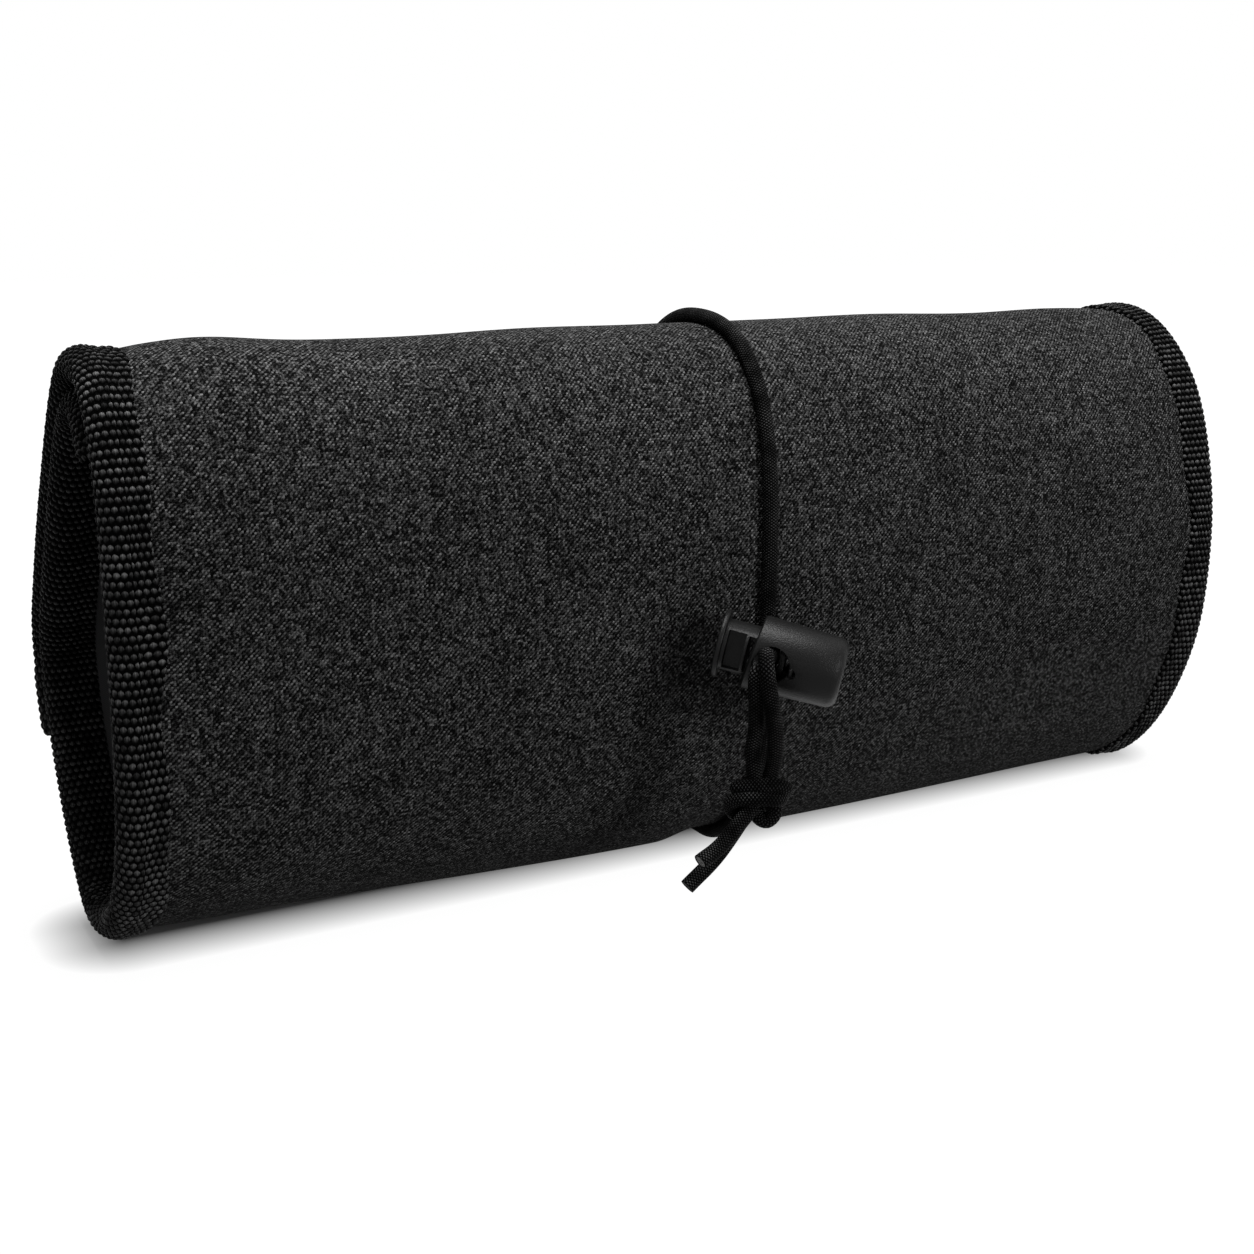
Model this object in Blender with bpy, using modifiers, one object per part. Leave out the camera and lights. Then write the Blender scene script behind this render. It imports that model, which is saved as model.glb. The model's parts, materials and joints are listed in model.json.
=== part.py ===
"""Roll-up organizer: a bound fabric roll with an opening flap, held shut by an elastic cord loop and a cord lock.

The roll lies along X and stands on its narrow edge. Its sheet is one spiral in the YZ plane. An angle on the
spiral is in degrees, 0 at the back, 90 at the top, 180 at the front, 270 at the bottom and then on inwards.
Depth is measured inwards from the outer face of the sheet, along the normal of the spiral.
"""

import bmesh
import bpy
import numpy as np
from mathutils import Matrix, Vector

# Roll, measured over its bindings
ROLL_LENGTH = 0.244
ROLL_HEIGHT = 0.1076
ROLL_THICKNESS = 0.0661
WRAP_PITCH = 0.0072
FLAP_END_ANGLE = -16.0
INNER_END_ANGLE = 495.0
POWER_BACK_TOP = 2.1
POWER_FRONT_TOP = 2.6
POWER_FRONT_BOTTOM = 2.15
POWER_BACK_BOTTOM = 2.1
FOOT_FLATTENING = 0.001
FOOT_LEAN_SHARE = 0.6

# Sheet, from the outer face inwards
SHELL_THICKNESS = 0.0008
FOAM_THICKNESS = 0.002
LINING_THICKNESS = 0.0005
LAYER_GAP = 0.0003
SHEET_INSET = 0.0024

# Webbing folded over the edges
BINDING_THICKNESS = 0.001
BINDING_LEG = 0.011
BINDING_CORNER = 0.0015

# Flap, three panels that open about lines along the top
FLAP_FOLD_ANGLES = (55.0, 88.0, 122.0)
FOLD_GAP = 0.0003
FOLD_PIVOT_RISE = 0.0002

# Hollow that the cord draws into the sheet
DENT_SIDE = 0.0004
DENT_BOTTOM = 0.0022
DENT_FLAT = 0.0054
DENT_RAMP = 0.009
DENT_FADE_ANGLE = 20.0
DENT_BOTTOM_POWER = 4

# Pocket and elastic band on the lining of the inner turn
PANEL_THICKNESS = 0.0005
PANEL_ANGLES = (292.0, 398.0)
HEM_THICKNESS = 0.0006
HEM_WIDTH = 0.01
BAND_THICKNESS = 0.001
BAND_ANGLES = (418.0, 440.0)
BAND_LOOPS = 8
BAND_LOOP_STEPS = 6
BAND_LOOP_RISE = 0.0045
BAND_LENGTH_SHARE = 0.86

# Elastic cord round the roll
CORD_RADIUS = 0.00145
CORD_GAP = 0.0004
CORD_X = 0.0034
CORD_BEND_RADIUS = 0.0034
CORD_BEND_STEPS = 4
CORD_LEG_X = 0.001
CORD_UPPER_SHIFT_HEIGHT = 0.058
CORD_LOWER_SHIFT_HEIGHT = 0.022
CORD_BRIDGE_ANGLE = 42.0
CORD_OVER_BINDING = 0.018
CORD_STACK_GAP = 0.0003
CORD_SIDES = 2
CORD_LAST_ANGLE = 3.0

# Cord lock, its axis turned from X and tipped down to the right
LOCK_X = -0.0061
LOCK_HEIGHT = 0.0488
LOCK_STANDOFF = 0.0148
LOCK_TURN = 40.0
LOCK_TIP = 12.6
LOCK_GAP = 0.0003
BARREL_RADIUS = 0.007
BARREL_LENGTH = 0.017
BARREL_WALL = 0.00195
BARREL_END_WALL = 0.0014
BARREL_END_ROUND = 0.0016
BARREL_MOUTH_ROUND = 0.0004
BARREL_STEPS = 32
BARREL_ROUND_STEPS = 3
MERGE_DISTANCE = 0.00005
HOLE_RADIUS = 0.0034
HOLE_FROM_MOUTH = 0.0042
HOLE_CORD_SHIFT = 0.0007
NOTCH_RADIUS = 0.001
NOTCH_REACH = 0.0036
NOTCH_DROP = 0.0006
NOTCH_LENGTH = 0.0055
NOTCH_SIDES = 16
CUT_OVERRUN = 0.002
BUTTON_TRAVEL = 0.0026
BUTTON_EXPOSED = 0.0053
FLANGE_RADIUS = 0.0064
FLANGE_THICKNESS = 0.001
FLANGE_ROUND = 0.0003
STEM_WEB = 0.0028
STEM_RECESS_HALF = 0.0036
STEM_RECESS_MARGIN = 0.0006
STEM_WALL = 0.0011
STEM_PRONG = 0.002
STEM_SLOT_CLEARANCE = 0.00035
STEM_SIDES = 24
SPRING_WIRE = 0.0003
SPRING_RADIUS = 0.0024
SPRING_TURNS = 6
SPRING_POINTS_PER_TURN = 10

# Tail: two strands from the lock to a knot, and two cut ends below it.
# Points are offsets from the lock's centre, along the world's axes.
STRAND_RIGHT_ROUTE = (
    (-0.0066, -0.0071, 0.0026),
    (-0.0079, -0.0092, 0.0009),
    (-0.0076, -0.0096, -0.0025),
    (-0.0062, -0.0091, -0.0080),
    (-0.0049, -0.0081, -0.0137),
    (-0.0043, -0.0062, -0.0192),
)
STRAND_LEFT_ROUTE = (
    (-0.0072, -0.0054, -0.0005),
    (-0.0079, -0.0059, -0.0030),
    (-0.0079, -0.0062, -0.0063),
    (-0.0077, -0.0059, -0.0109),
    (-0.0078, -0.0051, -0.0152),
    (-0.0073, -0.0050, -0.0192),
)
KNOT_OFFSET = (-0.0062, -0.0047, -0.0250)
KNOT_HALF_SIZES = (0.0064, 0.0046, 0.0049)
KNOT_TURN = -28.7
KNOT_SIDES = 16
KNOT_RINGS = 10
END_LONG_ROUTE = (
    (-0.0091, -0.0033, -0.0306),
    (-0.0139, -0.0036, -0.0344),
    (-0.0204, -0.0035, -0.0395),
)
END_SHORT_ROUTE = (
    (-0.0085, -0.0065, -0.0303),
    (-0.0150, -0.0066, -0.0313),
    (-0.0198, -0.0069, -0.0337),
)
ROUTE_STEP = 0.0022

# Fineness of the faceted spiral
FACET_TURN = 10.0
FACET_LENGTH = 0.021
FINE_STEP = 0.25
QUARTER = 90.0
TURN = 360.0

PROUD = LAYER_GAP + BINDING_THICKNESS
STACK = SHELL_THICKNESS + FOAM_THICKNESS + LINING_THICKNESS + 2 * LAYER_GAP

FABRIC_COLOUR = (0.022, 0.022, 0.024)
WEBBING_COLOUR = (0.010, 0.010, 0.011)
FOAM_COLOUR = (0.05, 0.05, 0.052)
LINING_COLOUR = (0.035, 0.036, 0.038)
POCKET_COLOUR = (0.030, 0.031, 0.033)
ELASTIC_COLOUR = (0.012, 0.012, 0.013)
CORD_COLOUR = (0.012, 0.012, 0.013)
PLASTIC_COLOUR = (0.012, 0.012, 0.013)
STEEL_COLOUR = (0.62, 0.62, 0.63)


def clear_scene():
    for obj in list(bpy.data.objects):
        bpy.data.objects.remove(obj, do_unlink=True)


def new_collection(name):
    collection = bpy.data.collections.new(name)
    bpy.context.scene.collection.children.link(collection)
    return collection


def make_material(name, colour, roughness, metallic=0.0):
    material = bpy.data.materials.new(name)
    material.use_nodes = True
    shader = material.node_tree.nodes["Principled BSDF"]
    shader.inputs["Base Color"].default_value = (*colour, 1.0)
    shader.inputs["Roughness"].default_value = roughness
    shader.inputs["Metallic"].default_value = metallic
    return material


def drop(angle):
    """How far the spiral has closed in by an angle."""
    return WRAP_PITCH * (angle - FLAP_END_ANGLE) / TURN


class Spiral:
    """The outer face of the sheet, as a superellipse that closes in by one pitch a turn."""

    def __init__(self):
        height = ROLL_HEIGHT - 2 * PROUD + FOOT_FLATTENING
        depth = ROLL_THICKNESS - 2 * PROUD
        self.half_z = (height + drop(QUARTER) + drop(3 * QUARTER)) / 2
        self.half_y = (depth + drop(0.0) + drop(2 * QUARTER)) / 2
        self.shift_y = ROLL_THICKNESS / 2 - PROUD - (self.half_y - drop(0.0))
        self.shift_z = PROUD - FOOT_FLATTENING + self.half_z - drop(3 * QUARTER)
        self.angles = np.arange(FLAP_END_ANGLE, INNER_END_ANGLE + FINE_STEP / 2, FINE_STEP)
        self.y, self.z = self.outline(self.angles)
        slope_y = np.gradient(self.y)
        slope_z = np.gradient(self.z)
        speed = np.hypot(slope_y, slope_z)
        flat = self.z < PROUD
        self.foot = (float(self.angles[flat][0]), float(self.angles[flat][-1]))
        self.z = np.maximum(self.z, PROUD)
        self.normal_y = np.where(flat, FOOT_LEAN_SHARE, 1.0) * slope_z / speed
        self.normal_z = np.where(flat, -1.0, -slope_y / speed)
        steps = np.hypot(np.diff(self.y), np.diff(self.z))
        self.lengths = np.concatenate([[0.0], np.cumsum(steps)])
        heading = np.degrees(np.unwrap(np.arctan2(slope_z, slope_y)))
        self.facets = (heading - heading[0]) / FACET_TURN + self.lengths / FACET_LENGTH

    def outline(self, angles):
        powers = np.array([POWER_BACK_TOP, POWER_FRONT_TOP, POWER_FRONT_BOTTOM, POWER_BACK_BOTTOM])
        power = powers[np.floor(angles / QUARTER).astype(int) % len(powers)]
        across = np.cos(np.radians(angles))
        up = np.sin(np.radians(angles))
        closed = drop(angles)
        y = (self.half_y - closed) * np.sign(across) * np.abs(across) ** (2 / power)
        z = (self.half_z - closed) * np.sign(up) * np.abs(up) ** (2 / power)
        return y + self.shift_y, z + self.shift_z

    def length_at(self, angle):
        return float(np.interp(angle, self.angles, self.lengths))

    def angle_at(self, length):
        return float(np.interp(length, self.lengths, self.angles))

    def total(self):
        return float(self.lengths[-1])

    def front_at(self, height):
        """The Y of the outer face on the front, at a height."""
        front = (self.angles > QUARTER) & (self.angles < 3 * QUARTER)
        return float(np.interp(height, self.z[front][::-1], self.y[front][::-1]))

    def frame_at(self, angle):
        """The point on the outer face and its outward normal, which leans at the foot's ends, in the YZ plane."""
        found = [np.interp(angle, self.angles, values) for values in (self.y, self.z, self.normal_y, self.normal_z)]
        point = Vector((0.0, found[0], found[1]))
        normal = Vector((0.0, found[2], found[3]))
        return point, normal

    def stations(self, first, last):
        """Angles between two lengths along the spiral, close where it curves, with none within the flat foot."""
        low = self.angle_at(first)
        high = self.angle_at(last)
        outermost = [0.0, QUARTER, 2 * QUARTER, *self.foot, TURN, TURN + QUARTER]
        stops = [low] + [angle for angle in outermost if low < angle < high] + [high]
        found = [low]
        for start, end in zip(stops, stops[1:]):
            ends = np.interp([start, end], self.angles, self.facets)
            count = 1 if (start, end) == self.foot else max(1, int(np.ceil(ends[1] - ends[0])))
            for facet in np.linspace(ends[0], ends[1], count + 1)[1:]:
                found.append(float(np.interp(facet, self.facets, self.angles)))
        return found


SPIRAL = Spiral()


def dent_depth(x, angle):
    """How deep the cord has drawn the sheet in: a flat-bottomed hollow with ramps, deepest under the roll."""
    fade = np.clip((FLAP_END_ANGLE + TURN - angle) / DENT_FADE_ANGLE, 0.0, 1.0)
    under = max(0.0, -np.sin(np.radians(angle))) ** DENT_BOTTOM_POWER
    deepest = DENT_SIDE + (DENT_BOTTOM - DENT_SIDE) * under
    across = np.clip((DENT_FLAT + DENT_RAMP - abs(x - CORD_X)) / DENT_RAMP, 0.0, 1.0)
    return deepest * fade * across


def place(x, angle, depth):
    point, normal = SPIRAL.frame_at(angle)
    found = point - normal * (depth + dent_depth(x, angle))
    return Vector((x, found.y, found.z))


def add_object(name, data, material, collection, parent=None):
    obj = bpy.data.objects.new(name, data)
    collection.objects.link(obj)
    if material:
        data.materials.append(material)
    if parent:
        obj.parent = parent
        obj.matrix_parent_inverse = parent.matrix_basis.inverted()
    return obj


def add_empty(name, matrix, collection, parent=None):
    empty = add_object(name, None, None, collection, parent)
    empty.matrix_basis = matrix
    return empty


def mapped_sheet(name, rows, columns, position, thickness, material, collection, parent=None):
    """An open grid laid where position(row, column) says, given its thickness to both sides."""
    bm = bmesh.new()
    bmesh.ops.create_grid(bm, x_segments=len(rows) - 1, y_segments=len(columns) - 1, size=1.0)
    for vert in bm.verts:
        row = round((vert.co.x + 1) / 2 * (len(rows) - 1))
        column = round((vert.co.y + 1) / 2 * (len(columns) - 1))
        vert.co = position(rows[row], columns[column])
    mesh = bpy.data.meshes.new(name)
    bm.to_mesh(mesh)
    bm.free()
    obj = add_object(name, mesh, material, collection, parent)
    solid = obj.modifiers.new("thickness", "SOLIDIFY")
    solid.thickness = thickness
    solid.offset = 0.0
    solid.use_even_offset = True
    return obj


def sheet_columns(reach):
    """Places along X from end to end, with the cord's hollow between them."""
    inner = [CORD_X - DENT_FLAT - DENT_RAMP, CORD_X - DENT_FLAT, CORD_X + DENT_FLAT, CORD_X + DENT_FLAT + DENT_RAMP]
    return [-reach] + inner + [reach]


def layer(name, angles, reach, depth, thickness, material, collection, parent=None):
    return mapped_sheet(
        name,
        angles,
        sheet_columns(reach),
        lambda angle, x: place(x, angle, depth),
        thickness,
        material,
        collection,
        parent,
    )


def binding_profile(bends=()):
    """The folded webbing's middle line, as insets from the edge and depths, with points where its legs bend."""
    middle = BINDING_THICKNESS / 2
    outer = -LAYER_GAP - middle
    inner = STACK + LAYER_GAP + middle
    along = [BINDING_LEG] + sorted(bends, reverse=True) + [middle + BINDING_CORNER]
    web = [(middle, outer + BINDING_CORNER), (middle, inner - BINDING_CORNER)]
    return [(inset, outer) for inset in along] + web + [(inset, inner) for inset in along[::-1]]


def side_binding(name, side, angles, material, collection, parent=None):
    """Webbing over one end of the roll, following the spiral."""
    edge = ROLL_LENGTH / 2
    return mapped_sheet(
        name,
        angles,
        binding_profile(),
        lambda angle, point: place(side * (edge - point[0]), angle, point[1]),
        BINDING_THICKNESS,
        material,
        collection,
        parent,
    )


def end_binding(name, edge_length, inward, angles, material, collection, parent=None):
    """Webbing over the first or last edge of the sheet, straight along X between the side bindings."""
    insets = [abs(SPIRAL.length_at(angle) - edge_length) for angle in angles]
    bends = [inset for inset in insets if SHEET_INSET + LAYER_GAP < inset < BINDING_LEG - LAYER_GAP]
    return mapped_sheet(
        name,
        sheet_columns(ROLL_LENGTH / 2 - BINDING_LEG - LAYER_GAP),
        binding_profile(bends),
        lambda x, point: place(x, SPIRAL.angle_at(edge_length + inward * point[0]), point[1]),
        BINDING_THICKNESS,
        material,
        collection,
        parent,
    )


def panel_stations(first_length, last_length, leave=SHEET_INSET):
    """Stations of one panel, with an extra one at the inner edge of any end binding on it."""
    stops = [first_length]
    for edge in (BINDING_LEG, SPIRAL.total() - BINDING_LEG):
        if first_length + leave < edge < last_length - leave:
            stops.append(edge)
    stops.append(last_length)
    found = []
    for start, end in zip(stops, stops[1:]):
        found += SPIRAL.stations(start, end)[1 if found else 0:]
    return found


def bound_panel(prefix, first_length, last_length, materials, collection, parent=None):
    """One stretch of the bound sheet: fabric, foam, lining and the webbing on its two ends."""
    fabric, foam, lining = ("fabric", "foam", "lining") if prefix else ("outer_fabric", "foam_padding", "inner_lining")
    total = SPIRAL.total()
    start = max(first_length, SHEET_INSET)
    end = min(last_length, total - SHEET_INSET)
    angles = panel_stations(start, end)
    side_angles = list(angles)
    if start > first_length:
        side_angles = [SPIRAL.angle_at(LAYER_GAP)] + side_angles
    if end < last_length:
        side_angles = side_angles + [SPIRAL.angle_at(total - LAYER_GAP)]
    reach = ROLL_LENGTH / 2 - SHEET_INSET
    depth = SHELL_THICKNESS / 2
    layer(prefix + fabric, angles, reach, depth, SHELL_THICKNESS, materials["fabric"], collection, parent)
    depth = SHELL_THICKNESS + LAYER_GAP + FOAM_THICKNESS / 2
    layer(prefix + foam, angles, reach, depth, FOAM_THICKNESS, materials["foam"], collection, parent)
    depth = STACK - LINING_THICKNESS / 2
    layer(prefix + lining, angles, reach, depth, LINING_THICKNESS, materials["lining"], collection, parent)
    side_binding(prefix + "binding_left", -1, side_angles, materials["webbing"], collection, parent)
    side_binding(prefix + "binding_right", 1, side_angles, materials["webbing"], collection, parent)
    return angles


def strip_stations(low, high, carrier):
    """Angles of a strip laid on a panel, matched to the panel's own facets."""
    return [low] + [angle for angle in carrier if low < angle < high] + [high]


def pocket(carrier, materials, collection):
    """A slip pocket on the lining of the inner turn, with a hem along its mouth."""
    reach = ROLL_LENGTH / 2 - BINDING_LEG - LAYER_GAP
    angles = strip_stations(*PANEL_ANGLES, carrier)
    depth = STACK + LAYER_GAP + PANEL_THICKNESS / 2
    layer("pocket_panel", angles, reach, depth, PANEL_THICKNESS, materials["pocket"], collection)
    mouth = SPIRAL.length_at(PANEL_ANGLES[1])
    hem = strip_stations(SPIRAL.angle_at(mouth - HEM_WIDTH), PANEL_ANGLES[1], carrier)
    depth = STACK + 2 * LAYER_GAP + PANEL_THICKNESS + HEM_THICKNESS / 2
    layer("pocket_hem", hem, reach, depth, HEM_THICKNESS, materials["webbing"], collection)


def elastic_band(carrier, materials, collection):
    """An elastic band on the lining, sewn down between loops that stand up from it."""
    reach = (ROLL_LENGTH / 2 - BINDING_LEG) * BAND_LENGTH_SHARE
    base = STACK + LAYER_GAP + BAND_THICKNESS / 2
    steps = BAND_LOOPS * BAND_LOOP_STEPS
    places = [-reach + 2 * reach * step / steps for step in range(steps + 1)]

    def position(x, angle):
        along = (x + reach) / (2 * reach) * BAND_LOOPS
        rise = BAND_LOOP_RISE * abs(np.sin(np.pi * along))
        return place(x, angle, base + rise)

    angles = strip_stations(*BAND_ANGLES, carrier)
    mapped_sheet("elastic_loop_band", places, angles, position, BAND_THICKNESS, materials["elastic"], collection)


def smooth_route(points, step):
    """A Catmull-Rom curve through the points, read at even steps."""
    knots = [Vector(point) for point in points]
    padded = [2 * knots[0] - knots[1]] + knots + [2 * knots[-1] - knots[-2]]
    found = [knots[0]]
    for before, start, end, after in zip(padded, padded[1:], padded[2:], padded[3:]):
        count = max(1, round((end - start).length / step))
        for index in range(1, count + 1):
            t = index / count
            bend = (2 * before - 5 * start + 4 * end - after) * t * t
            swing = (3 * start - before - 3 * end + after) * t * t * t
            found.append((2 * start + (end - before) * t + bend + swing) / 2)
    return found


def tube(name, points, radius, sides, material, collection, parent=None):
    curve = bpy.data.curves.new(name, "CURVE")
    curve.dimensions = "3D"
    curve.bevel_depth = radius
    curve.bevel_resolution = sides
    curve.use_fill_caps = True
    spline = curve.splines.new("POLY")
    spline.points.add(len(points) - 1)
    for target, point in zip(spline.points, points):
        target.co = (*point, 1.0)
    return add_object(name, curve, material, collection, parent)


def lock_frame():
    """The lock's own axes: X up, Y out of the cord hole towards the front, Z along the barrel to its closed end."""
    turn = np.radians(LOCK_TURN)
    tip = np.radians(LOCK_TIP)
    axis = Vector((np.cos(tip) * np.cos(turn), -np.cos(tip) * np.sin(turn), -np.sin(tip)))
    outward = Vector((-np.sin(turn), -np.cos(turn), 0.0))
    up = outward.cross(axis)
    matrix = Matrix((up, outward, axis)).transposed().to_4x4()
    face = SPIRAL.front_at(LOCK_HEIGHT) + DENT_SIDE
    matrix.translation = Vector((LOCK_X, face - LOCK_STANDOFF, LOCK_HEIGHT))
    return matrix


LOCK = lock_frame()
OUTWARD = LOCK.to_3x3() @ Vector((0.0, 1.0, 0.0))


def in_lock(up, out, along):
    return LOCK @ Vector((up, out, along))


def cord_lane(level):
    """The height, in the lock, of one of the two cords stacked in its hole: level 1 above, -1 below."""
    return level * (CORD_RADIUS + CORD_STACK_GAP / 2)


def leg_to_lock(level):
    """The end of one leg of the loop: from inside the lock's hole, out behind it, to the roll and round a bend."""
    start = in_lock(cord_lane(level), -LAYER_GAP, -HOLE_CORD_SHIFT)
    behind = in_lock(cord_lane(level), -BARREL_RADIUS - CORD_GAP, -HOLE_CORD_SHIFT)
    face = LOCK.translation.y + LOCK_STANDOFF - CORD_RADIUS - CORD_GAP
    corner = Vector((CORD_LEG_X, face, behind.z))
    away = (behind - corner).normalized()
    upright = Vector((0.0, 0.0, level * CORD_BEND_RADIUS))
    centre = corner + away * CORD_BEND_RADIUS + upright
    points = [start, behind]
    for step in range(CORD_BEND_STEPS + 1):
        swing = np.pi / 2 * step / CORD_BEND_STEPS
        points.append(centre - away * (CORD_BEND_RADIUS * np.sin(swing)) - upright * np.cos(swing))
    return points


def loop_point(angle):
    """The cord's middle on the roll, lifted over the flap's end binding and off the step below it."""
    length = SPIRAL.length_at(angle)
    over = np.clip((CORD_OVER_BINDING - length) / (CORD_OVER_BINDING - BINDING_LEG), 0.0, 1.0)
    bridge = np.clip(1 - (FLAP_END_ANGLE + TURN - angle) / CORD_BRIDGE_ANGLE, 0.0, 1.0)
    lift = PROUD * over + (WRAP_PITCH + PROUD) * bridge ** 2
    return place(CORD_X, angle, -CORD_RADIUS - CORD_GAP - lift)


def cord_loop(skin_angles, material, collection, parent):
    """The elastic cord, from the lock up the front, over the roll, under it and up the front to the lock."""
    upper = leg_to_lock(1)
    lower = leg_to_lock(-1)
    over = []
    under = []
    for angle in skin_angles:
        point = loop_point(angle)
        above = point.z > LOCK_HEIGHT
        if QUARTER < angle < 3 * QUARTER:
            leg = upper[-1] if above else lower[-1]
            away = abs(point.z - LOCK_HEIGHT) - abs(leg.z - LOCK_HEIGHT)
            if away < CORD_BEND_RADIUS:
                continue
            reach = CORD_UPPER_SHIFT_HEIGHT if above else CORD_LOWER_SHIFT_HEIGHT
            share = max(0.0, 1 - away / reach)
            point.x += (leg.x - point.x) * share * share * (3 - 2 * share)
        if angle <= QUARTER or (above and angle < 3 * QUARTER):
            over.append(point)
        else:
            under.append(point)
    points = upper + over[::-1] + under[::-1] + lower[::-1]
    tube("cord_loop", points, CORD_RADIUS, CORD_SIDES, material, collection, parent)


def turned(name, profile, material, collection, parent):
    """A profile of radius and height, turned about the lock's axis."""
    mesh = bpy.data.meshes.new(name)
    points = [(radius, 0.0, height) for radius, height in profile]
    mesh.from_pydata(points, [(i, i + 1) for i in range(len(points) - 1)], [])
    obj = add_object(name, mesh, material, collection, parent)
    obj.matrix_basis = LOCK
    screw = obj.modifiers.new("turned", "SCREW")
    screw.steps = BARREL_STEPS
    screw.render_steps = BARREL_STEPS
    screw.use_merge_vertices = True
    screw.merge_threshold = MERGE_DISTANCE
    screw.use_smooth_shade = True
    return obj


def lock_solid(name, build, centre, collection, parent, material=None):
    """A bmesh primitive at a place in the lock's frame."""
    bm = bmesh.new()
    build(bm)
    bmesh.ops.translate(bm, vec=centre, verts=bm.verts)
    mesh = bpy.data.meshes.new(name)
    bm.to_mesh(mesh)
    bm.free()
    obj = add_object(name, mesh, material, collection, parent)
    obj.matrix_basis = LOCK
    return obj


def cylinder(radius, length, sides, across=False):
    """Builds a cylinder along the lock's axis, or across it along the cords' hole."""

    def build(bm):
        bmesh.ops.create_cone(
            bm, cap_ends=True, segments=sides, radius1=radius, radius2=radius, depth=length
        )
        if across:
            turn = Matrix.Rotation(np.pi / 2, 3, "X")
            bmesh.ops.rotate(bm, cent=(0.0, 0.0, 0.0), matrix=turn, verts=bm.verts)

    return build


def block(size_x, size_y, size_z):
    def build(bm):
        bmesh.ops.create_cube(bm, size=1.0)
        bmesh.ops.scale(bm, vec=(size_x, size_y, size_z), verts=bm.verts)

    return build


def combine(target, other, operation="DIFFERENCE"):
    other.hide_render = True
    other.display_type = "WIRE"
    boolean = target.modifiers.new(other.name, "BOOLEAN")
    boolean.operation = operation
    boolean.object = other


def barrel(material, collection, cutters, parent):
    """The lock's body: a cup with a round end, a hole across it for the cords and a small notch beside the hole."""
    mouth = -HOLE_FROM_MOUTH
    end = mouth + BARREL_LENGTH
    bore = BARREL_RADIUS - BARREL_WALL
    floor = end - BARREL_END_WALL
    profile = [(0.0, end)]
    for step in range(BARREL_ROUND_STEPS + 1):
        swing = np.pi / 2 * step / BARREL_ROUND_STEPS
        out = BARREL_RADIUS - BARREL_END_ROUND * (1 - np.sin(swing))
        profile.append((out, end - BARREL_END_ROUND * (1 - np.cos(swing))))
    profile += [
        (BARREL_RADIUS, mouth + BARREL_MOUTH_ROUND),
        (BARREL_RADIUS - BARREL_MOUTH_ROUND, mouth),
        (bore, mouth),
        (bore, floor),
        (0.0, floor),
    ]
    body = turned("cord_lock_barrel", profile, material, collection, parent)
    through = 2 * (BARREL_RADIUS + CUT_OVERRUN)
    centre = (0.0, 0.0, 0.0)
    hole = lock_solid("hole_cutter", cylinder(HOLE_RADIUS, through, STEM_SIDES, True), centre, cutters, parent)
    centre = (-NOTCH_DROP, bore + NOTCH_LENGTH / 2 - CUT_OVERRUN, NOTCH_REACH)
    shape = cylinder(NOTCH_RADIUS, NOTCH_LENGTH, NOTCH_SIDES, True)
    notch = lock_solid("notch_cutter", shape, centre, cutters, parent)
    combine(body, hole)
    combine(body, notch)
    return floor


def plunger(material, collection, cutters, parent):
    """The button: a flange and a stem with a slot for the cords, a recess on each side and a fork at its end."""
    stem_radius = BARREL_RADIUS - BARREL_WALL - LOCK_GAP
    flange_inner = -HOLE_FROM_MOUTH - BUTTON_EXPOSED
    flange_middle = flange_inner - FLANGE_THICKNESS / 2
    slot_high = -HOLE_CORD_SHIFT + CORD_RADIUS + LOCK_GAP
    slot_low = -HOLE_CORD_SHIFT - CORD_RADIUS - LOCK_GAP - BUTTON_TRAVEL
    wall_end = slot_high + STEM_WALL
    tip = wall_end + STEM_PRONG
    shape = cylinder(stem_radius, tip - flange_middle, STEM_SIDES)
    centre = (0.0, 0.0, (tip + flange_middle) / 2)
    body = lock_solid("cord_lock_plunger", shape, centre, collection, parent, material)
    shape = cylinder(FLANGE_RADIUS, FLANGE_THICKNESS, BARREL_STEPS)
    flange = lock_solid("flange_joined", shape, (0.0, 0.0, flange_middle), cutters, parent)
    round_off = flange.modifiers.new("rounded", "BEVEL")
    round_off.width = FLANGE_ROUND
    round_off.segments = 2
    combine(body, flange, "UNION")
    height = 2 * (cord_lane(1) + CORD_RADIUS + STEM_SLOT_CLEARANCE)
    across = 2 * (stem_radius + CUT_OVERRUN)
    shape = block(height, across, slot_high - slot_low)
    slot = lock_solid("slot_cutter", shape, (0.0, 0.0, (slot_high + slot_low) / 2), cutters, parent)
    combine(body, slot)
    reach = STEM_PRONG + CUT_OVERRUN
    fork = lock_solid("fork_cutter", block(height, across, reach), (0.0, 0.0, wall_end + reach / 2), cutters, parent)
    combine(body, fork)
    recess_low = flange_inner + STEM_RECESS_MARGIN
    recess_high = slot_low - STEM_RECESS_MARGIN
    recess_out = stem_radius + CUT_OVERRUN
    shape = block(2 * STEM_RECESS_HALF, recess_out - STEM_WEB / 2, recess_high - recess_low)
    for side, name in ((1, "recess_cutter_front"), (-1, "recess_cutter_back")):
        centre = (0.0, side * (recess_out + STEM_WEB / 2) / 2, (recess_high + recess_low) / 2)
        combine(body, lock_solid(name, shape, centre, cutters, parent))
    return wall_end


def spring(low, high, material, collection, parent):
    """The coil spring behind the button, from the stem's wall to the barrel's floor."""
    bottom = low + LOCK_GAP + SPRING_WIRE
    top = high - LOCK_GAP - SPRING_WIRE
    count = SPRING_TURNS * SPRING_POINTS_PER_TURN
    points = []
    for step in range(count + 1):
        swing = 2 * np.pi * step / SPRING_POINTS_PER_TURN
        rise = bottom + (top - bottom) * step / count
        points.append((SPRING_RADIUS * np.cos(swing), SPRING_RADIUS * np.sin(swing), rise))
    coil = tube("cord_lock_spring", points, SPRING_WIRE, 0, material, collection, parent)
    coil.matrix_basis = LOCK


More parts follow.
